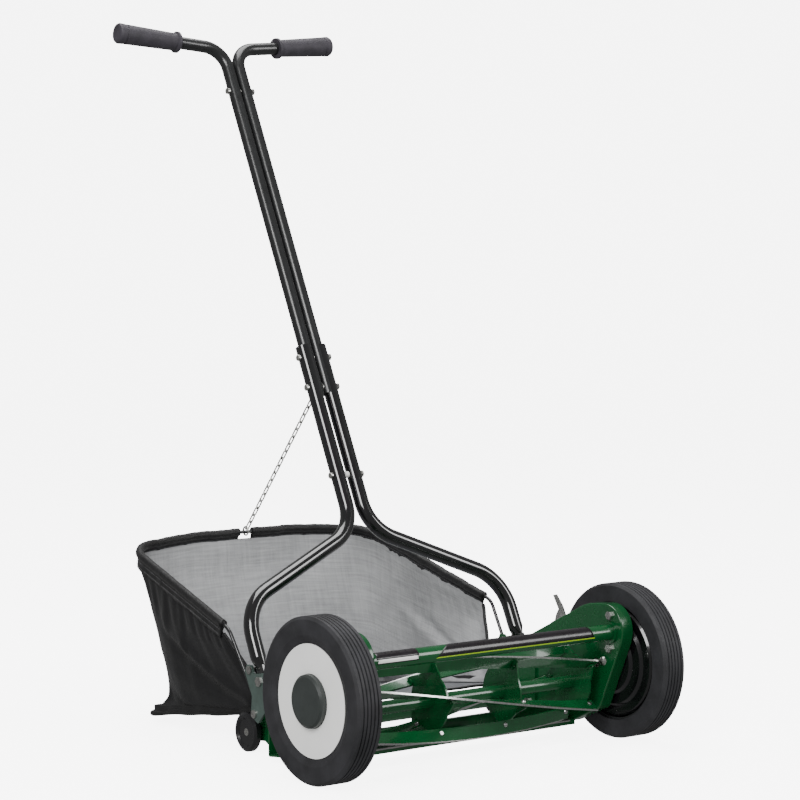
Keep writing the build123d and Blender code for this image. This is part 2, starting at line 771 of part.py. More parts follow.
with BuildPart() as pinions:
    for side, s in sides:
        with BuildSketch(side_plane(s * pinion_in)):
            with BuildLine():
                Polyline(gear_points(reel_at, pinion_teeth, pinion_root, pinion_tip, -gear_backlash / 2,
                                     reel_angle), close=True)
            make_face()
            with Locations(reel_at):
                Circle(reel_journal_radius, mode=Mode.SUBTRACT)
        extrude(amount=s * gear_width)
pinions.part.label = "pinions"
export_step(pinions.part, "parts/pinions.step")

# ---- rear roller on its carriage ----
arm_thick = 4.0
arm_gap = 0.3
arm_out = inner_bracket_in - arm_gap
arm_in = arm_out - arm_thick
roller_axle_radius = 6.0
core_end = arm_in - 1.5
core_wall = 2.5
core_plug = 10.0
arm_outline = [(194, -50), (214, -50), (284, -86), (282, -108), (262, -110), (214, -105), (194, -105)]
with BuildPart() as roller_arms:
    for side, s in sides:
        with BuildSketch(side_plane(s * arm_in)):
            with BuildLine():
                FilletPolyline([from_axle(p) for p in arm_outline], radius=5, close=True)
            make_face()
            with Locations(roller_at):
                Circle(roller_axle_radius + running_gap, mode=Mode.SUBTRACT)
            for at in slot_bolts_at:
                with Locations(at):
                    Circle(slot_bolt_radius, mode=Mode.SUBTRACT)
        extrude(amount=s * arm_thick)
roller_arms.part.label = "roller_arms"
export_step(roller_arms.part, "parts/roller_arms.step")

arm_nut_thick = 5.0
with BuildPart() as arm_bolts:
    for side, s in sides:
        for at in slot_bolts_at:
            bar(s * arm_in, s * (web_in + arm_gap + arm_nut_thick), at, slot_bolt_radius)
            bar(s * (arm_in - 2.5), s * arm_in, at, 6.5)
arm_bolts.part.label = "arm_bolts"
export_step(arm_bolts.part, "parts/arm_bolts.step")

with BuildPart() as arm_nuts:
    for side, s in sides:
        for at in slot_bolts_at:
            hexagon(s * (web_in + arm_gap), s * (web_in + arm_gap + arm_nut_thick), at, 6.2,
                    slot_bolt_radius)
arm_nuts.part.label = "arm_nuts"
export_step(arm_nuts.part, "parts/arm_nuts.step")

roller_end_in = arm_out + 2.3
roller_end_out = roller_end_in + roller_end_thick
with BuildPart() as roller_axle:
    bar(-(roller_end_out - 3), roller_end_out - 3, roller_at, roller_axle_radius)
roller_axle.part.label = "roller_axle"
export_step(roller_axle.part, "parts/roller_axle.step")

with BuildPart() as roller_core:
    for side, s in sides:
        turn(roller_at, s, [
            (0, roller_core_radius),
            (core_end, roller_core_radius),
            (core_end, roller_axle_radius),
            (core_end - core_plug, roller_axle_radius),
            (core_end - core_plug, roller_core_radius - core_wall),
            (0, roller_core_radius - core_wall),
        ])
roller_core.part.label = "roller_core"
export_step(roller_core.part, "parts/roller_core.step")

with BuildPart() as roller_ends:
    for side, s in sides:
        turn(roller_at, s, [
            (roller_end_in, roller_axle_radius),
            (roller_end_in, roller_core_radius + 4),
            (roller_end_in + 4, roller_core_radius + 6),
            (roller_end_in + 5, roller_radius - 1.5),
            (roller_end_in + 6.5, roller_radius),
            (roller_end_out - 3, roller_radius),
            (roller_end_out, roller_radius - 4),
            (roller_end_out, roller_radius - 8),
            (roller_end_out - 3, roller_radius - 11),
            (roller_end_out - 3, roller_axle_radius),
        ])
roller_ends.part.label = "roller_ends"
export_step(roller_ends.part, "parts/roller_ends.step")

# ---- handle: two lower tubes nested on two upper tubes, bolted side by side ----
mast_up = Vector(0, sin(handle_lean), cos(handle_lean))
mast_back = Vector(0, cos(handle_lean), -sin(handle_lean))


def on_handle(x, rise, back=0.0):
    """A point on the handle's plane, `rise` up from the pivot and `back` behind it."""
    return Vector(x, foot_at[0], foot_at[1]) + mast_up * rise + mast_back * back


handle_plane = Plane(origin=on_handle(0, 0), x_dir=(1, 0, 0), z_dir=-mast_back)
eye_radius = 13.0
eye_top = 22.0             # where the flattened end swells back to the round tube
tube_start = 38.0
knee_bend = 82.0
shoulder_bend = 72.0
grip_bend = 42.0
bolt_radius = 3.0
bolt_head = 5.5
bolt_head_thick = 4.5
bolt_rises = (334.0, 494.0, 549.0, 1062.0)
hanger_rise = bolt_rises[1]
grip_angle = atan2(grip_rise, 1)
grip_from = (grip_start - mast_spread) / cos(grip_angle)
grip_to = (grip_end - mast_spread) / cos(grip_angle)
tube_to = grip_to - 6.0
grip_bore = upper_tube_radius + running_gap
lower_out = neck_spread + lower_tube_radius
upper_out = mast_spread + upper_tube_radius
bolt_reaches = (lower_out, lower_out, lower_out, upper_out)


def handle_bar(x0, x1, rise, back, radius, bore=0.0, mode=Mode.ADD):
    """A round bar along X at a place on the handle."""
    place = on_handle(0, rise, back)
    bar(x0, x1, (place.Y, place.Z), radius, bore, mode)


def along_mast(x, rise, length, radius, mode):
    """A round bar up the handle, starting at `rise`."""
    with BuildSketch(Plane(origin=on_handle(x, rise), z_dir=mast_up)) as section:
        Circle(radius)
    extrude(section.sketch, amount=length, mode=mode)


for side, s in sides:
    with BuildPart() as lower_tube:
        with BuildLine(handle_plane) as lower_path:
            FilletPolyline([
                (s * foot_spread, tube_start),
                (s * foot_spread, knee_rise),
                (s * neck_spread, shoulder_rise),
                (s * neck_spread, joint_bottom),
            ], radius=[knee_bend, shoulder_bend])
        with BuildSketch(Plane(origin=lower_path.line @ 0, z_dir=lower_path.line % 0)):
            Circle(lower_tube_radius)
            Circle(lower_tube_radius - tube_wall, mode=Mode.SUBTRACT)
        sweep()
        with BuildSketch(Plane(origin=on_handle(s * foot_spread, eye_top), x_dir=(1, 0, 0), z_dir=mast_up)):
            Ellipse(eye_thick / 2, lower_tube_radius)
        with BuildSketch(Plane(origin=on_handle(s * foot_spread, tube_start), x_dir=(1, 0, 0),
                               z_dir=mast_up)):
            Circle(lower_tube_radius)
        loft()
        along_mast(s * neck_spread, joint_bottom - 2, joint_top - joint_bottom + 2,
                   lower_tube_radius, Mode.ADD)
        along_mast(s * mast_spread, joint_bottom - seat_gap, joint_top - joint_bottom + 1,
                   upper_tube_radius + seat_gap, Mode.SUBTRACT)
        with BuildSketch(side_plane(s * eye_in)):
            with Locations(foot_at):
                Circle(eye_radius)
                with Locations(Rotation(0, 0, 90 - degrees(handle_lean))):
                    with Locations((eye_top / 2 + 1, 0)):
                        Rectangle(eye_top + 2, 2 * lower_tube_radius - 1)
        extrude(amount=s * eye_thick)
        bore_hole(s * eye_in, s * eye_out, foot_at, pivot_radius + running_gap)
        for rise in bolt_rises[:3]:
            handle_bar(0, s * (lower_out + 1), rise, 0, bolt_radius, mode=Mode.SUBTRACT)
    lower_tube.part.label = f"lower_tube_{side}"
    export_step(lower_tube.part, f"parts/lower_tube_{side}.step")

    with BuildPart() as upper_tube:
        with BuildLine(handle_plane) as upper_path:
            FilletPolyline([
                (s * mast_spread, joint_bottom),
                (s * mast_spread, mast_top),
                (s * (mast_spread + tube_to * cos(grip_angle)), mast_top + tube_to * sin(grip_angle)),
            ], radius=[grip_bend])
        with BuildSketch(Plane(origin=upper_path.line @ 0, z_dir=upper_path.line % 0)):
            Circle(upper_tube_radius)
            Circle(upper_tube_radius - tube_wall, mode=Mode.SUBTRACT)
        sweep()
        for rise in bolt_rises[1:]:
            handle_bar(0, s * (upper_out + 1), rise, 0, bolt_radius, mode=Mode.SUBTRACT)
    upper_tube.part.label = f"upper_tube_{side}"
    export_step(upper_tube.part, f"parts/upper_tube_{side}.step")

with BuildPart() as grips:
    for side, s in sides:
        grip_along = Vector(s * cos(grip_angle), 0, 0) + mast_up * sin(grip_angle)
        grip_corner = on_handle(s * mast_spread, mast_top)
        with BuildSketch(Plane(origin=grip_corner, x_dir=grip_along, z_dir=-mast_back * s)) as section:
            with BuildLine():
                Polyline([
                    (grip_from, grip_bore),
                    (grip_from, grip_radius),
                    (grip_from + 1, grip_radius + 0.8),
                    (grip_from + 5, grip_radius + 0.8),
                    (grip_from + 7, grip_radius - 2.6),
                    (grip_to - 17, grip_radius - 0.6),
                    (grip_to - 16, grip_radius - 1.8),
                    (grip_to - 13.5, grip_radius - 1.8),
                    (grip_to - 12.5, grip_radius - 0.4),
                    (grip_to - 4, grip_radius),
                    (grip_to - 1, grip_radius - 1.5),
                    (grip_to, grip_radius - 5),
                    (grip_to, 0),
                    (tube_to + 0.5, 0),
                    (tube_to + 0.5, grip_bore),
                ], close=True)
            make_face()
        revolve(section.sketch, axis=Axis(grip_corner, grip_along))
grips.part.label = "grips"
export_step(grips.part, "parts/grips.step")

bolt_nut_thick = 5.0
with BuildPart() as handle_bolts:
    for rise, reach in zip(bolt_rises, bolt_reaches):
        handle_bar(-reach, reach + bolt_nut_thick + 1, rise, 0, bolt_radius)
        handle_bar(-reach - bolt_head_thick, -reach, rise, 0, bolt_head)
    fillet(handle_bolts.faces().filter_by(Axis.X).group_by(Axis.X)[0].edges(), 1.5)
handle_bolts.part.label = "handle_bolts"
export_step(handle_bolts.part, "parts/handle_bolts.step")

with BuildPart() as handle_nuts:
    for rise, reach in zip(bolt_rises, bolt_reaches):
        place = on_handle(0, rise)
        hexagon(reach, reach + bolt_nut_thick, (place.Y, place.Z), bolt_head + 0.5, bolt_radius)
handle_nuts.part.label = "handle_nuts"
export_step(handle_nuts.part, "parts/handle_nuts.step")

neck_gap = neck_spread - lower_tube_radius
with BuildPart() as neck_spacer:
    handle_bar(-neck_gap, neck_gap, bolt_rises[0], 0, bolt_head, bolt_radius)
neck_spacer.part.label = "neck_spacer"
export_step(neck_spacer.part, "parts/neck_spacer.step")

# ---- the chain from the handle to the catcher's rim ----
hanger_back = 19.0
hanger_thick = 1.2
hanger_hole = 2.6
ring_line_radius = 7.5
ring_wire_radius = 1.5
hanger_at = on_handle(0, hanger_rise, hanger_back)
rim_rear_at = from_axle(rim_rear_from_axle)
chain_to = Vector(0, rim_rear_at[0], rim_rear_at[1])
chain_down = (chain_to - hanger_at).normalized()
link_gap = 0.3
ring_top = ring_line_radius - ring_wire_radius - chain_wire_radius - link_gap
ring_low = ring_line_radius - ring_wire_radius - catcher_wire_radius - 2 * link_gap
chain_run = (chain_to - hanger_at).length - ring_top - ring_low
link_excess = 2 * chain_wire_radius + link_gap
link_count = 2 * round((chain_run / chain_pitch - 1) / 2) + 1
link_pitch = (chain_run - link_excess) / link_count
link_half_width = 3.1

with BuildPart() as chain_hanger:
    with BuildSketch(side_plane(-hanger_thick / 2)):
        with Locations((on_handle(0, hanger_rise).Y, on_handle(0, hanger_rise).Z)):
            with Locations(Rotation(0, 0, -degrees(handle_lean))):
                with Locations((hanger_back / 2, 0)):
                    SlotCenterToCenter(hanger_back, 12)
                Circle(bolt_radius, mode=Mode.SUBTRACT)
                with Locations((hanger_back, 0)):
                    Circle(hanger_hole, mode=Mode.SUBTRACT)
    extrude(amount=hanger_thick)
chain_hanger.part.label = "chain_hanger"
export_step(chain_hanger.part, "parts/chain_hanger.step")

with BuildPart() as chain_links:
    for link in range(link_count):
        middle = hanger_at + chain_down * (link * link_pitch + (link_pitch + link_excess) / 2)
        across = Vector(1, 0, 0) if link % 2 == 0 else Vector(0, -chain_down.Z, chain_down.Y)
        link_plane = Plane(origin=middle, x_dir=chain_down, z_dir=chain_down.cross(across))
        straight = (link_pitch + link_excess) / 2 - link_half_width
        with BuildLine(link_plane) as link_path:
            Line((-straight, link_half_width), (straight, link_half_width))
            ThreePointArc((straight, link_half_width), (straight + link_half_width, 0),
                          (straight, -link_half_width))
            Line((straight, -link_half_width), (-straight, -link_half_width))
            ThreePointArc((-straight, -link_half_width), (-straight - link_half_width, 0),
                          (-straight, link_half_width))
        with BuildSketch(Plane(origin=link_path.line @ 0, z_dir=link_path.line % 0)):
            Circle(chain_wire_radius)
        sweep()
chain_links.part.label = "chain_links"
export_step(chain_links.part, "parts/chain_links.step")

ring_middle = chain_to - chain_down * ring_low
with BuildPart() as chain_ring:
    with BuildSketch(Plane(origin=ring_middle, x_dir=chain_down, z_dir=Vector(1, 0, 0).cross(chain_down))):
        with Locations((ring_line_radius, 0)):
            Circle(ring_wire_radius)
    revolve(axis=Axis(ring_middle, (1, 0, 0)))
chain_ring.part.label = "chain_ring"
export_step(chain_ring.part, "parts/chain_ring.step")

# ---- grass catcher: a wire frame, a fabric bag with a bound rim and a stiff floor ----
rim_front_at = from_axle(rim_front_from_axle)
floor_front_at = from_axle(floor_front_from_axle)
floor_rear_at = from_axle(floor_rear_from_axle)
rim_run = Vector(0, *rim_rear_at) - Vector(0, *rim_front_at)
floor_run = Vector(0, *floor_rear_at) - Vector(0, *floor_front_at)
rim_length = rim_run.length
floor_length = floor_run.length
rim_slope = rim_run.normalized()
floor_slope = floor_run.normalized()
rim_plane = Plane(origin=(0, rim_front_at[0], rim_front_at[1]), x_dir=(1, 0, 0),
                  z_dir=Vector(1, 0, 0).cross(rim_slope))
floor_plane = Plane(origin=(0, floor_front_at[0], floor_front_at[1]), x_dir=(1, 0, 0),
                    z_dir=Vector(1, 0, 0).cross(floor_slope))
rear_bow = 28.0
rear_flat = rim_rear_spread - 139.0
pin_eye_radius = 8.0
pin_eye_spread = foot_spread - 1.5
pin_eye_thick = 6.0
rim_gap = 14.0             # the bare stretch of wire where the chain hooks on
bag_start = 20.0
bag_drop = binding_radius + 1.0


def bent_path(points, radii):
    """Straight runs between points in space, joined by tangent arcs at the inner ones."""
    start = points[0]
    for before, corner, after, radius in zip(points, points[1:], points[2:], radii):
        along = (corner - before).normalized()
        onward = (after - corner).normalized()
        turn_angle = along.get_angle(onward)
        reach = radius * tan(radians(turn_angle) / 2)
        arc_start = corner - along * reach
        arc_end = corner + onward * reach
        inward = (onward - along).normalized()
        centre = corner + inward * (radius / cos(radians(turn_angle) / 2))
        Line(start, arc_start)
        ThreePointArc(arc_start, centre - inward * radius, arc_end)
        start = arc_end
    Line(start, points[-1])


def on_rim(x, run):
    return rim_plane.from_local_coords(Vector(x, run, 0))


def rim_half(s, from_x):
    """The rim wire's corners on one side, from near the middle of the rear to the front."""
    return [
        on_rim(s * from_x, rim_length),
        on_rim(s * rear_flat, rim_length),
        on_rim(s * (rim_rear_spread + 2), rim_length - rear_bow),
        on_rim(s * rim_front_spread, 0),
    ]


pin_eyes_at = {side: Vector(s * pin_eye_spread, *catcher_pin_at) for side, s in sides}
right_half = rim_half(-1, 0)
left_half = rim_half(1, 0)
frame_points = [pin_eyes_at["right"]] + right_half[:0:-1] + left_half[1:] + [pin_eyes_at["left"]]
with BuildPart() as catcher_frame:
    with BuildLine() as frame_path:
        bent_path(frame_points, [30, 60, 200, 200, 60, 30])
    with BuildSketch(Plane(origin=frame_path.line @ 0, z_dir=frame_path.line % 0)):
        Circle(catcher_wire_radius)
    sweep()
    for side, s in sides:
        bar(s * (pin_eye_spread - pin_eye_thick / 2), s * (pin_eye_spread + pin_eye_thick / 2),
            catcher_pin_at, pin_eye_radius)
        bore_hole(s * (pin_eye_spread - pin_eye_thick), s * (pin_eye_spread + pin_eye_thick),
                  catcher_pin_at, pin_radius + running_gap)
catcher_frame.part.label = "catcher_frame"
export_step(catcher_frame.part, "parts/catcher_frame.step")

with BuildPart() as rim_bindings:
    for side, s in sides:
        points = rim_half(s, rim_gap)
        points[-1] = points[-2] + (points[-1] - points[-2]) * (1 - bag_start / rim_length)
        with BuildLine() as binding_path:
            bent_path(points, [200, 60])
        with BuildSketch(Plane(origin=binding_path.line @ 0, z_dir=binding_path.line % 0)) as section:
            Circle(binding_radius)
            Circle(catcher_wire_radius + seat_gap, mode=Mode.SUBTRACT)
        sweep(section.sketch, path=binding_path.line)
rim_bindings.part.label = "rim_bindings"
export_step(rim_bindings.part, "parts/rim_bindings.step")


def bag_outline(front, rear, flat, start, length, bow, inset):
    """The bag's outline from above; with an inset, the space inside it, open at the front."""
    corner = rear + (front - rear) * 0.12
    points = [
        (front - inset, start - 2 * inset),
        (corner - inset, length - bow - 40 - inset / 2),
        (rear - 14 - inset, length - bow - inset / 2),
        (flat, length - inset),
    ]
    return points + [(-x, run) for x, run in reversed(points)]


with BuildPart() as catcher_bag:
    for inset, mode in ((0, Mode.ADD), (bag_wall, Mode.SUBTRACT)):
        with BuildSketch(rim_plane.offset(-bag_drop)):
            with BuildLine():
                Polyline(bag_outline(rim_front_spread, rim_rear_spread, rear_flat, bag_start,
                                     rim_length, rear_bow, inset), close=True)
            make_face()
        with BuildSketch(floor_plane):
            with BuildLine():
                Polyline(bag_outline(floor_front_spread, floor_rear_spread, rear_flat, bag_start / 2,
                                     floor_length, rear_bow / 2, inset), close=True)
            make_face()
        loft(ruled=True, mode=mode)
catcher_bag.part.label = "catcher_bag"
export_step(catcher_bag.part, "parts/catcher_bag.step")

tray_lip = 5.0
tray_half = [
    (floor_front_spread + tray_lip - 1, 0),
    (floor_rear_spread + tray_lip, floor_length - 24),
    (floor_rear_spread - 4, floor_length - 8),
    (rear_flat, floor_length + 2),
]
with BuildPart() as catcher_floor:
    with BuildSketch(floor_plane):
        with BuildLine():
            Polyline(tray_half + [(-x, run) for x, run in reversed(tray_half)], close=True)
        make_face()
    extrude(amount=-floor_thick)
catcher_floor.part.label = "catcher_floor"
export_step(catcher_floor.part, "parts/catcher_floor.step")

# ---- galvanised hooks standing on the plates' flanges, where the empty catcher hangs ----
hook_thick = 2.5
hook_foot_width = 14.0
hook_foot_in = web_out + 4
hook_blade_in = web_out + 10.5
hook_base_front, hook_base_rear = 92.0, 122.0
flange_rear, flange_front = plate_outline[0], plate_outline[1]
flange_fall = (flange_rear[1] - flange_front[1]) / (flange_rear[0] - flange_front[0])
hook_base = [(run, flange_front[1] + flange_fall * (run - flange_front[0]))
             for run in (hook_base_front, hook_base_rear)]
hook_foot = hook_base + [(run, rise + hook_thick) for run, rise in reversed(hook_base)]
hook_outline = hook_base + [(117, 64), (111, 74), (125, 96), (117, 98), (101, 80)]
with BuildPart() as catcher_hooks:
    for side, s in sides:
        with BuildSketch(side_plane(s * hook_foot_in)):
            with BuildLine():
                Polyline([from_axle(p) for p in hook_foot], close=True)
            make_face()
        extrude(amount=s * hook_foot_width)
        with BuildSketch(side_plane(s * hook_blade_in)):
            with BuildLine():
                Polyline([from_axle(p) for p in hook_outline], close=True)
            make_face()
        extrude(amount=s * hook_thick)
catcher_hooks.part.label = "catcher_hooks"
export_step(catcher_hooks.part, "parts/catcher_hooks.step")

print("axle Y", round(axle_y, 3), "Z", axle_z, "reel", reel_at, "roller", roller_at, "foot", foot_at)
print("catcher pin", catcher_pin_at, "hanger", hanger_at, "links", link_count, "pitch", link_pitch)
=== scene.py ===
import math
import bmesh
import bpy
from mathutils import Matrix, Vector


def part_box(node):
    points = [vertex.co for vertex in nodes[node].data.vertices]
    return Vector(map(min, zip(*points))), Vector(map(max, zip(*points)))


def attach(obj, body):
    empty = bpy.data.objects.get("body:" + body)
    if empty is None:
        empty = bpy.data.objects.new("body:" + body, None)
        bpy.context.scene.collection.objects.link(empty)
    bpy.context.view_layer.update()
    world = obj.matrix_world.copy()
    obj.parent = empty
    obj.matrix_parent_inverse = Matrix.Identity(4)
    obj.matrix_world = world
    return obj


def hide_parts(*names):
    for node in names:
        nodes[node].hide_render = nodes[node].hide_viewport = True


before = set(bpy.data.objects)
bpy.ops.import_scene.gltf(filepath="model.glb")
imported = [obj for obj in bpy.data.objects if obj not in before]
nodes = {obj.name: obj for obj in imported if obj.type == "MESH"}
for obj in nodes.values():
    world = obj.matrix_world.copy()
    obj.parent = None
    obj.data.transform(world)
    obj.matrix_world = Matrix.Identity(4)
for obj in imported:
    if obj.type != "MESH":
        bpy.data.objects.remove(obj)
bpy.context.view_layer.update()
scene = bpy.context.scene
print("frame loaded:", len(nodes), "nodes")

tyreLow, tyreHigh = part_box("tyre_left")
axleY = (tyreLow.y + tyreHigh.y) / 2
axleZ = (tyreLow.z + tyreHigh.z) / 2
reelLow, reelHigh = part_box("reel_shaft")
reelY = (reelLow.y + reelHigh.y) / 2
reelZ = (reelLow.z + reelHigh.z) / 2
tieLow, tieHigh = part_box("tie_bar")
tieY = (tieLow.y + tieHigh.y) / 2
tieZ = (tieLow.z + tieHigh.z) / 2


def fromAxle(x, y, z):
    return Vector((x, axleY + y, axleZ + z))


# ---------- finishes ----------
def startMaterial(name):
    material = bpy.data.materials.new(name)
    material.use_nodes = True
    tree = material.node_tree
    shader = tree.nodes["Principled BSDF"]
    coords = tree.nodes.new("ShaderNodeTexCoord")
    return material, tree, shader, coords


def addNode(tree, kind, **values):
    node = tree.nodes.new(kind)
    for key, value in values.items():
        if key in node.inputs:
            node.inputs[key].default_value = value
        else:
            setattr(node, key, value)
    return node


def noiseOn(tree, vector, scale, detail=3.0, roughness=0.5):
    noise = addNode(tree, "ShaderNodeTexNoise", Scale=scale, Detail=detail, Roughness=roughness)
    tree.links.new(vector, noise.inputs["Vector"])
    return noise.outputs["Fac"]


def spread(tree, value, low, high, fromLow=0.3, fromHigh=0.7):
    ramp = tree.nodes.new("ShaderNodeMapRange")
    ramp.inputs["From Min"].default_value = fromLow
    ramp.inputs["From Max"].default_value = fromHigh
    ramp.inputs["To Min"].default_value = low
    ramp.inputs["To Max"].default_value = high
    tree.links.new(value, ramp.inputs["Value"])
    return ramp.outputs["Result"]


def mixColours(tree, factor, first, second):
    mix = tree.nodes.new("ShaderNodeMix")
    mix.data_type = "RGBA"
    tree.links.new(factor, mix.inputs["Factor"])
    for socket, colour in ((mix.inputs[6], first), (mix.inputs[7], second)):
        if isinstance(colour, tuple):
            socket.default_value = (*colour, 1)
        else:
            tree.links.new(colour, socket)
    return mix.outputs[2]


def maths(tree, operation, first, second=None):
    node = tree.nodes.new("ShaderNodeMath")
    node.operation = operation
    for socket, value in zip(node.inputs, (first, second)):
        if value is None:
            continue
        if isinstance(value, (int, float)):
            socket.default_value = value
        else:
            tree.links.new(value, socket)
    return node.outputs[0]


def addBump(tree, shader, height, strength, distance):
    bump = addNode(tree, "ShaderNodeBump", Strength=strength, Distance=distance)
    tree.links.new(height, bump.inputs["Height"])
    tree.links.new(bump.outputs["Normal"], shader.inputs["Normal"])


def scaledCoords(tree, coords, scale, location=(0, 0, 0), output="Object"):
    mapping = tree.nodes.new("ShaderNodeMapping")
    mapping.inputs["Scale"].default_value = scale
    mapping.inputs["Location"].default_value = location
    tree.links.new(coords.outputs[output], mapping.inputs["Vector"])
    return mapping.outputs["Vector"]


def shade(colour, factor):
    return tuple(min(1.0, c * factor) for c in colour)


def plainFinish(name, colour, rough, metal=0.0, coat=0.0, coatRough=0.06, mottle=(30.0, 0.12),
                grain=(700.0, 0.12, 0.0002), stretch=(1, 1, 1), roughBy=0.06, sheen=0.0):
    material, tree, shader, coords = startMaterial(name)
    vector = scaledCoords(tree, coords, stretch)
    broad = noiseOn(tree, vector, mottle[0], 5.0, 0.6)
    colours = mixColours(tree, spread(tree, broad, 0, 1), shade(colour, 1 - mottle[1]),
                         shade(colour, 1 + mottle[1]))
    tree.links.new(colours, shader.inputs["Base Color"])
    patchy = noiseOn(tree, vector, mottle[0] * 2.3, 4.0, 0.7)
    tree.links.new(spread(tree, patchy, max(0.02, rough - roughBy), rough + roughBy),
                   shader.inputs["Roughness"])
    addBump(tree, shader, noiseOn(tree, vector, grain[0], 2.0), grain[1], grain[2])
    shader.inputs["Metallic"].default_value = metal
    shader.inputs["Coat Weight"].default_value = coat
    shader.inputs["Coat Roughness"].default_value = coatRough
    shader.inputs["Sheen Weight"].default_value = sheen
    return material


def bladeFinish(name, colour, edgeRadius):
    # paint that the grinding wheel took off along the outer edge
    material, tree, shader, coords = startMaterial(name)
    place = scaledCoords(tree, coords, (1, 1, 1), (0, -reelY, -reelZ))
    parts = tree.nodes.new("ShaderNodeSeparateXYZ")
    tree.links.new(place, parts.inputs["Vector"])
    outwards = maths(tree, "SQRT", maths(tree, "ADD", maths(tree, "POWER", parts.outputs["Y"], 2.0),
                                         maths(tree, "POWER", parts.outputs["Z"], 2.0)))
    wavy = maths(tree, "ADD", outwards,
                 spread(tree, noiseOn(tree, coords.outputs["Object"], 160.0), -0.0004, 0.0004))
    bare = spread(tree, wavy, 0, 1, edgeRadius, edgeRadius + 0.0004)
    broad = noiseOn(tree, coords.outputs["Object"], 24.0, 5.0, 0.6)
    paint = mixColours(tree, spread(tree, broad, 0, 1), shade(colour, 0.85), shade(colour, 1.2))
    fine = noiseOn(tree, scaledCoords(tree, coords, (900, 60, 60)), 1.0)
    steel = mixColours(tree, spread(tree, fine, 0, 1), (0.46, 0.46, 0.45), (0.78, 0.78, 0.76))
    tree.links.new(mixColours(tree, bare, paint, steel), shader.inputs["Base Color"])
    tree.links.new(bare, shader.inputs["Metallic"])
    tree.links.new(spread(tree, bare, 0.2, 0.32, 0, 1), shader.inputs["Roughness"])
    addBump(tree, shader, noiseOn(tree, coords.outputs["Object"], 420.0), 0.08, 0.0002)
    shader.inputs["Coat Weight"].default_value = 0.6
    shader.inputs["Coat Roughness"].default_value = 0.05
    return material


def galvanised(name, colour, rough):
    material, tree, shader, coords = startMaterial(name)
    cells = addNode(tree, "ShaderNodeTexVoronoi", Scale=260.0)
    tree.links.new(coords.outputs["Object"], cells.inputs["Vector"])
    grey = tree.nodes.new("ShaderNodeRGBToBW")
    tree.links.new(cells.outputs["Color"], grey.inputs["Color"])
    patches = maths(tree, "ADD", grey.outputs[0], noiseOn(tree, coords.outputs["Object"], 35.0))
    tree.links.new(mixColours(tree, spread(tree, patches, 0, 1, 0.5, 1.6), shade(colour, 0.72),
                              shade(colour, 1.18)), shader.inputs["Base Color"])
    tree.links.new(spread(tree, patches, rough - 0.08, rough + 0.1, 0.5, 1.5), shader.inputs["Roughness"])
    addBump(tree, shader, noiseOn(tree, coords.outputs["Object"], 600.0), 0.1, 0.0002)
    shader.inputs["Metallic"].default_value = 1.0
    return material


def wovenFinish(name, dark, light, pitch, rough, sheen, streak=0.5, patch=0.3):
    # warp and weft follow the cloth's own measure, laid out in metres
    material, tree, shader, coords = startMaterial(name)
    flat = coords.outputs["UV"]
    waves = []
    for direction in ("X", "Y"):
        wave = addNode(tree, "ShaderNodeTexWave", Scale=0.314 / pitch, Distortion=1.2)
        wave.bands_direction = direction
        wave.inputs["Detail"].default_value = 1.5
        wave.inputs["Detail Scale"].default_value = 2.0
        tree.links.new(flat, wave.inputs["Vector"])
        waves.append(wave.outputs["Fac"])
    weave = maths(tree, "MULTIPLY", waves[0], waves[1])
    streaks = noiseOn(tree, scaledCoords(tree, coords, (14, 260, 1), output="UV"), 1.0, 4.0, 0.65)
    ups = noiseOn(tree, scaledCoords(tree, coords, (240, 12, 1), output="UV"), 1.0, 3.0, 0.6)
    broad = noiseOn(tree, coords.outputs["Object"], 9.0, 5.0, 0.6)
    tone = maths(tree, "ADD", maths(tree, "MULTIPLY", weave, 0.45),
                 maths(tree, "MULTIPLY", spread(tree, streaks, 0, 1), streak))
    tone = maths(tree, "ADD", tone, maths(tree, "MULTIPLY", spread(tree, ups, 0, 1), streak * 0.5))
    tone = maths(tree, "ADD", tone, maths(tree, "MULTIPLY", spread(tree, broad, 0, 1), patch))
    tree.links.new(mixColours(tree, spread(tree, tone, 0, 1, 0.15, 1.3), dark, light),
                   shader.inputs["Base Color"])
    tree.links.new(spread(tree, streaks, rough - 0.08, rough + 0.08), shader.inputs["Roughness"])
    addBump(tree, shader, maths(tree, "ADD", weave, maths(tree, "MULTIPLY", streaks, 0.6)), 0.35, 0.0005)
    shader.inputs["Sheen Weight"].default_value = sheen
    shader.inputs["Sheen Roughness"].default_value = 0.5
    return material


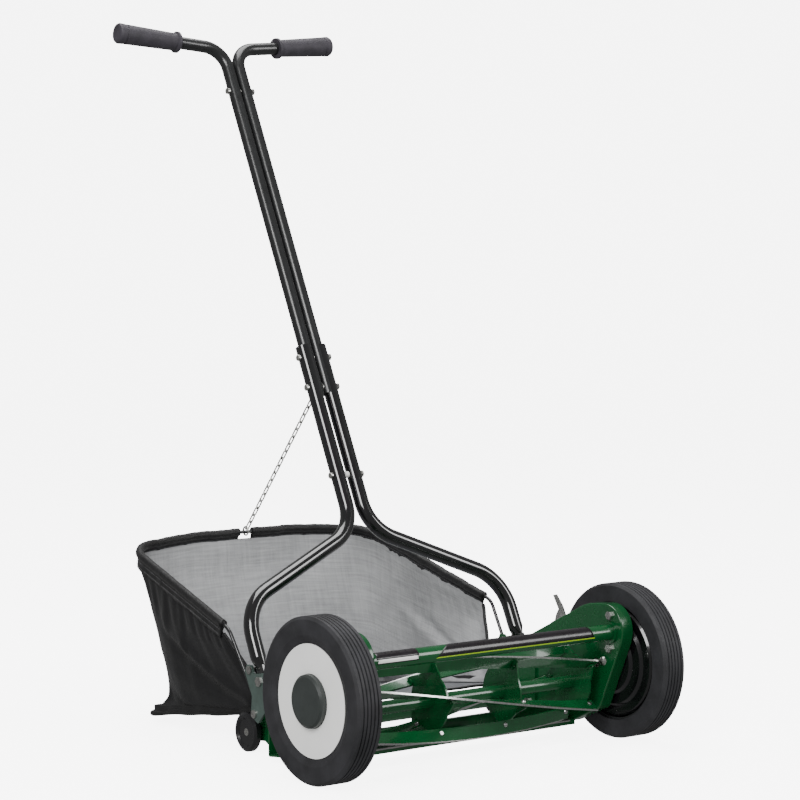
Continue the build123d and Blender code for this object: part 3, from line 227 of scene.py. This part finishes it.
green = (0.0008, 0.062, 0.015)
finishes = {
    "greenPaint": plainFinish("greenPaint", green, 0.24, coat=0.4, mottle=(14.0, 0.16),
                              grain=(300.0, 0.05, 0.0004)),
    "bladePaint": bladeFinish("bladePaint", green, 0.0672),
    "greyPaint": plainFinish("greyPaint", (0.05, 0.075, 0.065), 0.34, coat=0.3, mottle=(60.0, 0.2)),
    "blackGloss": plainFinish("blackGloss", (0.006, 0.006, 0.0065), 0.14, coat=1.0, coatRough=0.03,
                              mottle=(20.0, 0.2), grain=(260.0, 0.04, 0.0004)),
    "blackSatin": plainFinish("blackSatin", (0.012, 0.0125, 0.013), 0.3, coat=0.35, coatRough=0.14,
                              mottle=(26.0, 0.2), grain=(340.0, 0.08, 0.0004)),
    "zinc": galvanised("zinc", (0.6, 0.6, 0.57), 0.3),
    "steel": plainFinish("steel", (0.52, 0.52, 0.51), 0.26, metal=1.0, stretch=(1, 12, 12),
                         mottle=(26.0, 0.25)),
    "rubber": plainFinish("rubber", (0.022, 0.022, 0.025), 0.62, mottle=(22.0, 0.35),
                          grain=(520.0, 0.25, 0.0006), roughBy=0.12),
    "disc": plainFinish("disc", (0.9, 0.9, 0.88), 0.32, coat=0.15, mottle=(12.0, 0.04),
                        grain=(200.0, 0.06, 0.0004)),
    "hub": plainFinish("hub", (0.016, 0.017, 0.018), 0.4, mottle=(40.0, 0.2), grain=(500.0, 0.2, 0.0004)),
    "cap": plainFinish("cap", (0.03, 0.036, 0.034), 0.42, coat=0.1, mottle=(34.0, 0.16),
                       grain=(900.0, 0.22, 0.0003)),
    "cover": plainFinish("cover", (0.004, 0.004, 0.0045), 0.2, coat=0.7, coatRough=0.05, mottle=(30.0, 0.2),
                         grain=(240.0, 0.05, 0.0004)),
    "rollerBlack": plainFinish("rollerBlack", (0.008, 0.008, 0.009), 0.26, coat=0.4, mottle=(40.0, 0.25)),
    "grip": plainFinish("grip", (0.035, 0.031, 0.04), 0.6, mottle=(46.0, 0.28), grain=(420.0, 0.4, 0.0008),
                        roughBy=0.1),
    "nylon": plainFinish("nylon", (0.72, 0.72, 0.69), 0.4, mottle=(60.0, 0.06)),
    "tray": plainFinish("tray", (0.13, 0.135, 0.145), 0.5, stretch=(1, 6, 6), mottle=(24.0, 0.14),
                        grain=(160.0, 0.2, 0.0006)),
    "lining": wovenFinish("lining", (0.2, 0.204, 0.21), (0.52, 0.525, 0.53), 0.0016, 0.66, 0.08),
    "bagBlack": wovenFinish("bagBlack", (0.0016, 0.0016, 0.002), (0.009, 0.009, 0.0105), 0.0014, 0.5, 0.05,
                             0.4, 0.35),
    "sleeve": wovenFinish("sleeve", (0.0018, 0.0018, 0.002), (0.009, 0.009, 0.010), 0.0012, 0.46, 0.05,
                           0.3, 0.2),
    "thread": plainFinish("thread", (0.12, 0.12, 0.125), 0.6, mottle=(300.0, 0.3)),
    "decalBlack": plainFinish("decalBlack", (0.006, 0.004, 0.006), 0.3, coat=0.3, mottle=(50.0, 0.15)),
    "decalLime": plainFinish("decalLime", (0.30, 0.50, 0.003), 0.35, coat=0.3, mottle=(50.0, 0.06)),
    "decalWhite": plainFinish("decalWhite", (0.78, 0.78, 0.76), 0.35, coat=0.3, mottle=(50.0, 0.04)),
}

finishOf = {
    "greenPaint": "side_plate tie_bar bedknife_bar reel_shaft reel_spiders roller_core roller_arms"
                  " rear_brackets",
    "bladePaint": "reel_blade",
    "greyPaint": "handle_brackets",
    "blackGloss": "lower_tube bearing_cups",
    "blackSatin": "upper_tube catcher_frame",
    "steel": "bedknife_blade reel_rivets pinions reel_bearings",
    "rubber": "tyre",
    "disc": "wheel_disc",
    "hub": "wheel_hub",
    "cap": "hub_cap",
    "cover": "dust_covers",
    "rollerBlack": "roller_ends",
    "grip": "grips",
    "nylon": "neck_spacer",
    "tray": "catcher_floor",
}


def finishFor(node):
    for finish, starts in finishOf.items():
        if any(node.startswith(start) for start in starts.split()):
            return finishes[finish]
    return finishes["zinc"]


for name, node in nodes.items():
    node.data.materials.clear()
    node.data.materials.append(finishFor(name))
print("finishes on the CAD nodes")

# ---------- bands round the tie bar ----------
bands = {"radius": 0.013, "lift": 0.0002, "thick": 0.00012, "step": 0.004}
bandPieces = [
    # name, finish, x from, x to, angle from, angle to (from the top, forwards), slant at both ends
    ("tieBandBlack", "decalBlack", -0.118, 0.200, -60, 100, 0.045),
    ("tieBandLime", "decalLime", -0.121, 0.203, 102, 110, 0.006),
    ("tieBandSmall", "decalBlack", -0.233, -0.153, -40, 71, 0.004),
    ("tieBandWhite", "decalWhite", -0.231, -0.155, 72, 96, 0.002),
    ("tieBandEdge", "decalBlack", -0.233, -0.153, 97, 103, 0.002),
]


def tieBand(name, finish, x0, x1, a0, a1, slant):
    across = 14
    along = 2 + int((x1 - x0) / bands["step"])
    radius = bands["radius"] + bands["lift"]
    mesh = bmesh.new()
    grid = []
    for j in range(across + 1):
        v = j / across
        angle = math.radians(a0 + (a1 - a0) * v)
        lead = slant * (1 - v)
        row = []
        for i in range(along + 1):
            x = (x0 + lead) + (x1 - x0 - lead * 1.25) * i / along
            row.append(mesh.verts.new((x, tieY - radius * math.sin(angle), tieZ + radius * math.cos(angle))))
        grid.append(row)
    for j in range(across):
        for i in range(along):
            mesh.faces.new((grid[j][i], grid[j + 1][i], grid[j + 1][i + 1], grid[j][i + 1]))
    return meshPiece(name, mesh, finish, thick=bands["thick"])


def meshPiece(name, mesh, finish, thick=0.0):
    bmesh.ops.recalc_face_normals(mesh, faces=mesh.faces)
    data = bpy.data.meshes.new(name)
    mesh.to_mesh(data)
    mesh.free()
    piece = bpy.data.objects.new(name, data)
    scene.collection.objects.link(piece)
    data.materials.append(finishes[finish])
    for face in data.polygons:
        face.use_smooth = True
    if thick:
        wall = piece.modifiers.new("wall", "SOLIDIFY")
        wall.thickness = thick
        wall.offset = 0
        freeze(piece)
    return piece


def freeze(piece):
    view = bpy.context.evaluated_depsgraph_get()
    done = bpy.data.meshes.new_from_object(piece.evaluated_get(view))
    piece.modifiers.clear()
    old = piece.data
    piece.data = done
    done.name = piece.name
    if old.users == 0:
        bpy.data.meshes.remove(old)


for row in bandPieces:
    piece = tieBand(*row)
    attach(piece, "frame")
print("bands on the tie bar")

# ---------- camera ----------
camera = {"place": fromAxle(-2.38306, -2.94218, 0.65891), "azimuth": -37.6, "elevation": 3.3,
          "lens": 109.54, "shift": (-0.0243, -0.0026)}
camData = bpy.data.cameras.new("camera")
camData.lens = camera["lens"]
camData.shift_x, camData.shift_y = camera["shift"]
camData.clip_end = 100
camObject = bpy.data.objects.new("camera", camData)
camObject.location = camera["place"]
camObject.rotation_euler = (math.radians(90 - camera["elevation"]), 0, math.radians(camera["azimuth"]))
scene.collection.objects.link(camObject)
scene.camera = camObject

# ---------- studio: a pale floor that sweeps up all round, and soft light ----------
studio = {"flat": 7.0, "bend": 5.0, "rise": 5.0, "turns": 96, "arcs": 16, "glow": 6.0,
          "ambient": 0.75, "mirrored": 0.22}
mesh = bmesh.new()
rings = [(studio["flat"] * i / 4, 0.0) for i in range(1, 5)]
for i in range(1, studio["arcs"] + 1):
    a = math.pi / 2 * i / studio["arcs"]
    rings.append((studio["flat"] + studio["bend"] * math.sin(a), studio["rise"] * (1 - math.cos(a))))
middle = mesh.verts.new((0, 0, 0))
loops = []
for radius, height in rings:
    loops.append([mesh.verts.new((radius * math.cos(2 * math.pi * k / studio["turns"]),
                                  radius * math.sin(2 * math.pi * k / studio["turns"]), height))
                  for k in range(studio["turns"])])
for k in range(studio["turns"]):
    after = (k + 1) % studio["turns"]
    mesh.faces.new((middle, loops[0][k], loops[0][after]))
    for inner, outer in zip(loops, loops[1:]):
        mesh.faces.new((inner[k], outer[k], outer[after], inner[after]))
finishes["floor"] = plainFinish("floor", (0.9, 0.9, 0.9), 0.7, mottle=(3.0, 0.01), grain=(60.0, 0.02, 0.0005))
floorShader = finishes["floor"].node_tree.nodes["Principled BSDF"]
floorShader.inputs["Emission Color"].default_value = (1, 1, 1, 1)
floorShader.inputs["Emission Strength"].default_value = studio["glow"]
floor = meshPiece("studioFloor", mesh, "floor")
floor.visible_glossy = False
floor.visible_diffuse = False

world = bpy.data.worlds.new("studio")
scene.world = world
world.use_nodes = True
sky = world.node_tree.nodes["Background"]
sky.inputs["Color"].default_value = (1, 1, 1, 1)
seenBy = world.node_tree.nodes.new("ShaderNodeLightPath")
strength = world.node_tree.nodes.new("ShaderNodeMapRange")
strength.inputs["To Min"].default_value = studio["ambient"]
strength.inputs["To Max"].default_value = studio["mirrored"]
world.node_tree.links.new(seenBy.outputs["Is Glossy Ray"], strength.inputs["Value"])
world.node_tree.links.new(strength.outputs["Result"], sky.inputs["Strength"])


def softLight(name, place, aim, size, power):
    data = bpy.data.lights.new(name, "AREA")
    data.shape = "RECTANGLE"
    data.size, data.size_y = size
    data.energy = power
    lamp = bpy.data.objects.new(name, data)
    lamp.location = place
    lamp.rotation_euler = (Vector(aim) - Vector(place)).to_track_quat("-Z", "Y").to_euler()
    scene.collection.objects.link(lamp)


softLight("keyLight", (-3.2, -2.2, 2.9), (0, 0, 0.4), (1.6, 2.2), 150)
softLight("fillLight", (2.6, -3.4, 2.0), (0, 0, 0.3), (1.2, 2.0), 70)
softLight("topLight", (0.2, 0.6, 3.6), (0, 0, 0.2), (2.4, 2.4), 110)
print("camera and lights")

# ---------- grass catcher ----------
catcher = {"rimFront": (0.300, 0.067), "rimRear": (0.660, 0.172), "rimHalf": 0.270, "rimRearHalf": 0.251,
           "rimFlat": 0.110, "rimBow": 0.028, "rimCorner": 0.060, "flatBend": 0.200, "gap": 0.014,
           "bare": 0.020, "trayFront": (0.232, -0.064), "trayRear": (0.590, -0.113), "trayHalf": 0.229,
           "trayRearHalf": 0.243, "trayCorner": 0.016}


def roundedPath(corners, radii, step):
    # straight runs joined by arcs, as evenly spaced points in a plane
    points = [Vector(corners[0])]
    for before, corner, after, radius in zip(corners, corners[1:], corners[2:], radii):
        before, corner, after = Vector(before), Vector(corner), Vector(after)
        along = (corner - before).normalized()
        onward = (after - corner).normalized()
        half = along.angle(onward) / 2
        reach = radius * math.tan(half)
        start, end = corner - along * reach, corner + onward * reach
        centre = corner + (onward - along).normalized() * (radius / math.cos(half))
        count = max(3, int(2 * half * radius / step))
        for i in range(count + 1):
            spoke = start.lerp(end, i / count) - centre
            points.append(centre + spoke.normalized() * radius)
    points.append(Vector(corners[-1]))
    return resample(points, step)


def resample(points, step, count=None):
    lengths = [0.0]
    for a, b in zip(points, points[1:]):
        lengths.append(lengths[-1] + (b - a).length)
    count = count or max(2, int(lengths[-1] / step))
    spaced, k = [], 0
    for i in range(count + 1):
        want = lengths[-1] * i / count
        while k < len(points) - 2 and lengths[k + 1] < want:
            k += 1
        share = (want - lengths[k]) / max(1e-9, lengths[k + 1] - lengths[k])
        spaced.append(points[k].lerp(points[k + 1], min(1, share)))
    return spaced


class Slope:
    # a sloping plane across the catcher: x across, run from front to rear, up square to it
    def __init__(self, front, rear):
        self.start = fromAxle(0, *front)
        self.along = (fromAxle(0, *rear) - self.start).normalized()
        self.up = Vector((0, -self.along.z, self.along.y))
        self.length = (fromAxle(0, *rear) - self.start).length

    def at(self, x, run, lift=0.0):
        return self.start + Vector((x, 0, 0)) + self.along * run + self.up * lift


rimSlope = Slope(catcher["rimFront"], catcher["rimRear"])
traySlope = Slope(catcher["trayFront"], catcher["trayRear"])


def rimLine(fromX, frontRun, side):
    length = rimSlope.length
    corners = [(side * fromX, length), (side * catcher["rimFlat"], length),
               (side * catcher["rimRearHalf"], length - catcher["rimBow"]), (side * catcher["rimHalf"], 0)]
    last = Vector(corners[2]).lerp(Vector(corners[3]), 1 - frontRun / length)
    return roundedPath(corners[:3] + [last], [catcher["flatBend"], catcher["rimCorner"]], 0.004)


def trayLine(side, out=0.0):
    length = traySlope.length
    corners = [(0, length + out), (side * catcher["rimFlat"], length + out),
               (side * (catcher["trayRearHalf"] + out), length - 0.014),
               (side * (catcher["trayHalf"] + out), 0.002)]
    return roundedPath(corners, [0.2, catcher["trayCorner"]], 0.004)


def wholeLine(half):
    left, right = half(1), half(-1)
    return left[::-1] + right[1:]


cloth = {"columns": 168, "rows": 36, "dip": 0.012, "flare": 0.78, "cornerPull": 0.017, "sidePull": 0.006,
         "fold": 0.006, "foldWidth": 0.013, "thick": 0.0014, "cap": 0.009, "grow": 0.024}


def sweptPull(v):
    peak = cloth["flare"]
    share = v / peak if v < peak else (1 - v) / (1 - peak)
    return math.sin(share * math.pi / 2) ** 1.3


def bump(value, width):
    return math.exp(-(value / width) ** 2)


topPoints = resample(wholeLine(lambda s: rimLine(0.0, catcher["bare"], s)), 0, cloth["columns"])
lowPoints = resample(wholeLine(trayLine), 0, cloth["columns"])
corner = 0.292  # how far along the line the rear corners come
grid = []
for i in range(cloth["columns"] + 1):
    t = i / cloth["columns"]
    top = rimSlope.at(topPoints[i].x, topPoints[i].y, -cloth["dip"])
    low = traySlope.at(lowPoints[i].x, lowPoints[i].y, 0.0005)
    a, b = topPoints[max(0, i - 1)], topPoints[min(cloth["columns"], i + 1)]
    outward = Vector(((b - a).y, -(b - a).x)).normalized()
    if outward.dot(topPoints[i] - Vector((0, rimSlope.length * 0.4))) < 0:
        outward = -outward
    outwards = Vector((outward.x, 0, 0)) + rimSlope.along * outward.y
    fromCorner = min(abs(t - corner), abs(1 - corner - t))
    column = []
    for j in range(cloth["rows"] + 1):
        v = j / cloth["rows"]
        pull = cloth["cornerPull"] * bump(fromCorner, 0.05) + cloth["sidePull"]
        place = top.lerp(low, v) - outwards * pull * sweptPull(v)
        side = min(t, 1 - t) / corner
        if side < 1.1:
            # the long fold from the rear of the rim to the front of the tray, and a weaker one beside it
            fade = min(1, side * 6) * min(1, (1.1 - side) * 8) * math.sin(math.pi * v) ** 0.5
            off = (v - (0.06 + 0.9 * (1 - side))) * 0.24 * 0.83
            ridge = bump(off, cloth["foldWidth"]) - 0.7 * bump(off - 0.022, 0.016)
            place += outwards * cloth["fold"] * fade * ridge
            off = (v - (0.3 + 0.55 * (1 - side))) * 0.2
            place += outwards * cloth["fold"] * 0.45 * fade * bump(off - 0.05, 0.012)
        gather = math.sin(t * 91) * 0.6 + math.sin(t * 157 + 2) * 0.4 + math.sin(t * 263 + 1) * 0.25
        place += outwards * 0.0016 * gather * math.sin(math.pi * v) ** 0.7 * (1 - 0.5 * v)
        column.append(place)
    grid.append(column)


def clothSheet(name, grid):
    mesh = bmesh.new()
    uv = mesh.loops.layers.uv.new("cloth")
    verts = [[mesh.verts.new(place) for place in column] for column in grid]
    middle = len(grid[0]) // 2
    across = [0.0]
    for a, b in zip(grid, grid[1:]):
        across.append(across[-1] + (b[middle] - a[middle]).length)
    for i in range(len(grid) - 1):
        down = 0.0
        for j in range(len(grid[0]) - 1):
            drop = (grid[i][j + 1] - grid[i][j]).length
            face = mesh.faces.new((verts[i][j], verts[i][j + 1], verts[i + 1][j + 1], verts[i + 1][j]))
            spots = ((across[i], down), (across[i], down + drop), (across[i + 1], down + drop),
                     (across[i + 1], down))
            for loop, spot in zip(face.loops, spots):
                loop[uv].uv = spot
            down += drop
    data = bpy.data.meshes.new(name)
    mesh.to_mesh(data)
    mesh.free()
    piece = bpy.data.objects.new(name, data)
    scene.collection.objects.link(piece)
    for face in data.polygons:
        face.use_smooth = True
    return piece, across[-1]


def settle(piece, grid):
    # the cloth grows a little between its pinned edges and hangs under its own weight
    rows = len(grid[0])
    still = [v.co.copy() for v in piece.data.vertices]
    pins = piece.vertex_groups.new(name="pins")
    edge = [i * rows + j for i in range(len(grid)) for j in range(rows)
            if j < 2 or j > rows - 2 or i in (0, len(grid) - 1)]
    pins.add(edge, 1.0, "REPLACE")
    sim = piece.modifiers.new("hang", "CLOTH")
    sim.settings.quality = 6
    sim.settings.mass = 0.12
    sim.settings.tension_stiffness = 12
    sim.settings.compression_stiffness = 3
    sim.settings.shear_stiffness = 3
    sim.settings.bending_stiffness = 0.12
    sim.settings.air_damping = 3
    sim.settings.vertex_group_mass = "pins"
    sim.settings.shrink_min = -cloth["grow"]
    sim.collision_settings.use_collision = False
    sim.point_cache.frame_start = 1
    sim.point_cache.frame_end = 30
    for f in range(1, 31):
        scene.frame_set(f)
    view = bpy.context.evaluated_depsgraph_get()
    hung = [v.co.copy() for v in piece.evaluated_get(view).data.vertices]
    piece.modifiers.clear()
    piece.vertex_groups.clear()
    scene.frame_set(1)
    moved = 0.0
    for index, vertex in enumerate(piece.data.vertices):
        j = index % rows
        v = j / (rows - 1)
        fade = min(1, v / 0.14) * min(1, (1 - v) / 0.1)
        shift = hung[index] - still[index]
        if shift.length > cloth["cap"]:
            shift *= cloth["cap"] / shift.length
        moved = max(moved, shift.length)
        vertex.co = still[index] + shift * fade
    print("cloth hung, largest move", round(moved, 4))


bag, clothWidth = clothSheet("catcherCloth", grid)
bag.data.materials.append(finishes["bagBlack"])
bag.data.materials.append(finishes["lining"])
centre = rimSlope.at(0, rimSlope.length * 0.4, -0.1)
probe = bag.data.polygons[len(bag.data.polygons) // 2]
if probe.normal.dot(probe.center - centre) < 0:
    bag.data.flip_normals()
settle(bag, grid)
clothArea = sum(face.area for face in bag.data.polygons)
wall = bag.modifiers.new("wall", "SOLIDIFY")
wall.thickness = cloth["thick"]
wall.offset = -1
wall.material_offset = 1
smooth = bag.modifiers.new("smooth", "SUBSURF")
smooth.levels = smooth.render_levels = 1
freeze(bag)
print("cloth", round(clothWidth, 3), "wide, area", round(clothArea, 4))


def sweepProfile(name, line, ups, outs, profile, finish, ruffle=None):
    # a closed cross-section carried along a line, with capped ends
    mesh = bmesh.new()
    uv = mesh.loops.layers.uv.new("cloth")
    rings = []
    for k, (place, up, out) in enumerate(zip(line, ups, outs)):
        ring = []
        for m, (o, u) in enumerate(profile(k / (len(line) - 1))):
            push = ruffle(k, o, u) if ruffle else (0.0, 0.0)
            ring.append(mesh.verts.new(place + out * (o + push[0]) + up * (u + push[1])))
        rings.append(ring)
    size = len(rings[0])
    for k in range(len(rings) - 1):
        for m in range(size):
            n = (m + 1) % size
            face = mesh.faces.new((rings[k][m], rings[k][n], rings[k + 1][n], rings[k + 1][m]))
            spots = ((k, m), (k, m + 1), (k + 1, m + 1), (k + 1, m))
            for loop, (a, b) in zip(face.loops, spots):
                loop[uv].uv = (a * 0.004, b * 0.003)
    for ring in (rings[0], rings[-1]):
        hub = sum((v.co for v in ring), Vector()) / size
        hubVert = mesh.verts.new(hub)
        for m in range(size):
            mesh.faces.new((ring[m], ring[(m + 1) % size], hubVert))
    return meshPiece(name, mesh, finish)


def lineFrames(places, up):
    outs = []
    for k in range(len(places)):
        along = (places[min(k + 1, len(places) - 1)] - places[max(k - 1, 0)]).normalized()
        out = along.cross(up).normalized()
        if out.dot(places[k] - centre) < 0:
            out = -out
        outs.append(out)
    return [up] * len(places), outs


sleeve = {"radius": 0.0071, "flap": 0.0235, "thick": 0.0014, "ruffle": 0.0007}


def sleeveProfile(share):
    ring = []
    for m in range(15):
        a = math.radians(-70 + 320 * m / 14)
        ring.append((sleeve["radius"] * math.cos(a), sleeve["radius"] * math.sin(a)))
    t = sleeve["thick"]
    neck = [(-t - 0.0006, -0.0095), (-t - 0.0001, -0.0165), (-t, -sleeve["flap"]),
            (0, -sleeve["flap"] - 0.001), (t, -sleeve["flap"]), (t + 0.0001, -0.0165), (t + 0.0006, -0.0095)]
    return ring + neck


def sleeveRuffle(k, o, u):
    wave = math.sin(k * 0.83) * 0.5 + math.sin(k * 0.37 + 1) * 0.7 + math.sin(k * 1.9 + 2) * 0.35
    low = max(0.0, -u - 0.007) / 0.0165
    return (sleeve["ruffle"] * wave * (0.35 + low), -0.0011 * low * math.sin(k * 0.21) + 0.0004 * wave)


def mergePieces(name, pieces):
    # several meshes joined into one piece
    mesh = bmesh.new()
    for piece in pieces:
        mesh.from_mesh(piece.data)
    data = bpy.data.meshes.new(name)
    mesh.to_mesh(data)
    mesh.free()
    for material in pieces[0].data.materials:
        data.materials.append(material)
    for face in data.polygons:
        face.use_smooth = True
    joined = bpy.data.objects.new(name, data)
    scene.collection.objects.link(joined)
    for piece in pieces:
        bpy.data.objects.remove(piece)
    return joined


sleeveParts, seamLines = [], []
for side in (1, -1):
    flat = rimLine(catcher["gap"], catcher["bare"], side)
    places = [rimSlope.at(p.x, p.y) for p in flat]
    ups, outs = lineFrames(places, rimSlope.up)
    sleeveParts.append(sweepProfile(f"sleeve{side}", places, ups, outs, sleeveProfile, "sleeve",
                                    sleeveRuffle))
    for face in (1, -1):
        for drop in (0.011, 0.0195):
            seamLines.append([p + o * face * (sleeve["thick"] + 0.0006) - u * drop
                              for p, o, u in zip(places, outs, ups)][2:-2])
sleeves = mergePieces("rimSleeves", sleeveParts)

hem = {"height": 0.013, "thick": 0.0012, "bead": 0.0034, "tip": 0.0062}
hemLine = wholeLine(lambda s: trayLine(s, 0.0035))
hemPlaces = [traySlope.at(p.x, p.y, -0.001) for p in hemLine]
hemUps, hemOuts = lineFrames(hemPlaces, traySlope.up)


def hemProfile(share):
    nearTip = bump(min(abs(share - corner), abs(1 - corner - share)), 0.028)
    # the bead runs thin over the roller, which comes up to the tray's front
    pastRoller = min(1.0, max(0.0, (min(share, 1 - share) - 0.06) / 0.04))
    bead = (hem["bead"] + (hem["tip"] - hem["bead"]) * nearTip) * (0.3 + 0.7 * pastRoller)
    ring = [(-hem["thick"], hem["height"]), (hem["thick"], hem["height"]), (hem["thick"], bead)]
    for m in range(9):
        a = math.radians(80 - 250 * m / 8)
        ring.append((bead * 0.5 + bead * math.cos(a), bead * math.sin(a) * 0.8))
    ring.append((-hem["thick"], 0.0))
    return ring


trayHem = sweepProfile("trayHem", hemPlaces, hemUps, hemOuts, hemProfile, "sleeve",
                       lambda k, o, u: (0.0004 * math.sin(k * 0.6), 0.0005 * math.sin(k * 0.31 + 1)))


def roundHem(name, points, radius):
    line = resample(points, 0.005)
    axis = (line[-1] - line[0]).normalized()
    up = Vector((0, 0, 1)) if abs(axis.z) < 0.6 else Vector((1, 0, 0))
    ups, outs = [], []
    for k in range(len(line)):
        along = (line[min(k + 1, len(line) - 1)] - line[max(k - 1, 0)]).normalized()
        out = along.cross(up).normalized()
        outs.append(out)
        ups.append(out.cross(along))
    angles = [2 * math.pi * m / 10 for m in range(10)]
    oval = [(radius * math.cos(angle), radius * 0.75 * math.sin(angle)) for angle in angles]
    return sweepProfile(name, line, ups, outs, lambda share: oval, "sleeve",
                        lambda k, o, u: (0.0004 * math.sin(k * 0.9), 0.0003 * math.sin(k * 0.7)))


edgeHems = mergePieces("edgeHems", [
    roundHem("hemLeft", grid[0][1:], 0.0036),
    roundHem("hemRight", grid[-1][1:], 0.0036),
    roundHem("hemFront", [traySlope.at(x, 0.001, 0.0) for x in (0.229, 0.1, 0, -0.1, -0.229)], 0.003),
])
print("sleeves and hems")


# ---------- stitches, laid along their seams ----------
stitch = {"spacing": 0.0052, "length": 0.0034, "radius": 0.00045}


def stitchTree():
    tree = bpy.data.node_groups.new("stitches", "GeometryNodeTree")
    tree.interface.new_socket("Geometry", in_out="INPUT", socket_type="NodeSocketGeometry")
    for name in ("Spacing", "Length", "Radius"):
        tree.interface.new_socket(name, in_out="INPUT", socket_type="NodeSocketFloat")
    tree.interface.new_socket("Thread", in_out="INPUT", socket_type="NodeSocketMaterial")
    tree.interface.new_socket("Geometry", in_out="OUTPUT", socket_type="NodeSocketGeometry")
    make = tree.nodes.new
    joins = tree.links.new
    given = make("NodeGroupInput")
    spaced = make("GeometryNodeResampleCurve")
    spaced.mode = "LENGTH"
    joins(given.outputs["Geometry"], spaced.inputs["Curve"])
    joins(given.outputs["Spacing"], spaced.inputs["Length"])
    thread = make("GeometryNodeMeshCylinder")
    thread.inputs["Vertices"].default_value = 6
    joins(given.outputs["Radius"], thread.inputs["Radius"])
    joins(given.outputs["Length"], thread.inputs["Depth"])
    tangent = make("GeometryNodeInputTangent")
    turned = make("FunctionNodeAlignRotationToVector")
    turned.axis = "Z"
    joins(tangent.outputs[0], turned.inputs["Vector"])
    placed = make("GeometryNodeInstanceOnPoints")
    joins(spaced.outputs[0], placed.inputs["Points"])
    joins(thread.outputs["Mesh"], placed.inputs["Instance"])
    joins(turned.outputs[0], placed.inputs["Rotation"])
    real = make("GeometryNodeRealizeInstances")
    joins(placed.outputs[0], real.inputs[0])
    finish = make("GeometryNodeSetMaterial")
    joins(real.outputs[0], finish.inputs["Geometry"])
    joins(given.outputs["Thread"], finish.inputs["Material"])
    joins(finish.outputs[0], make("NodeGroupOutput").inputs["Geometry"])
    return tree


def runTree(name, tree, lines, values):
    curve = bpy.data.curves.new(name, "CURVE")
    curve.dimensions = "3D"
    for line in lines:
        spline = curve.splines.new("POLY")
        spline.points.add(len(line) - 1)
        for point, place in zip(spline.points, line):
            point.co = (*place, 1)
    source = bpy.data.objects.new(name + "Line", curve)
    scene.collection.objects.link(source)
    maker = source.modifiers.new("maker", "NODES")
    maker.node_group = tree
    for item in tree.interface.items_tree:
        if item.in_out == "INPUT" and item.name in values:
            maker[item.identifier] = values[item.name]
    view = bpy.context.evaluated_depsgraph_get()
    data = bpy.data.meshes.new_from_object(source.evaluated_get(view))
    data.name = name
    piece = bpy.data.objects.new(name, data)
    scene.collection.objects.link(piece)
    bpy.data.objects.remove(source)
    return piece


stitches = runTree("sleeveStitches", stitchTree(), seamLines, {
    "Spacing": stitch["spacing"], "Length": stitch["length"], "Radius": stitch["radius"],
    "Thread": finishes["thread"]})
print("stitches", len(stitches.data.polygons))

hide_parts("catcher_bag")
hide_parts("rim_bindings")
slotOf = {bag: "catcher_fabric", sleeves: "binding", trayHem: "binding", edgeHems: "binding",
          stitches: "binding"}
for piece, slotName in slotOf.items():
    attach(piece, "catcher")
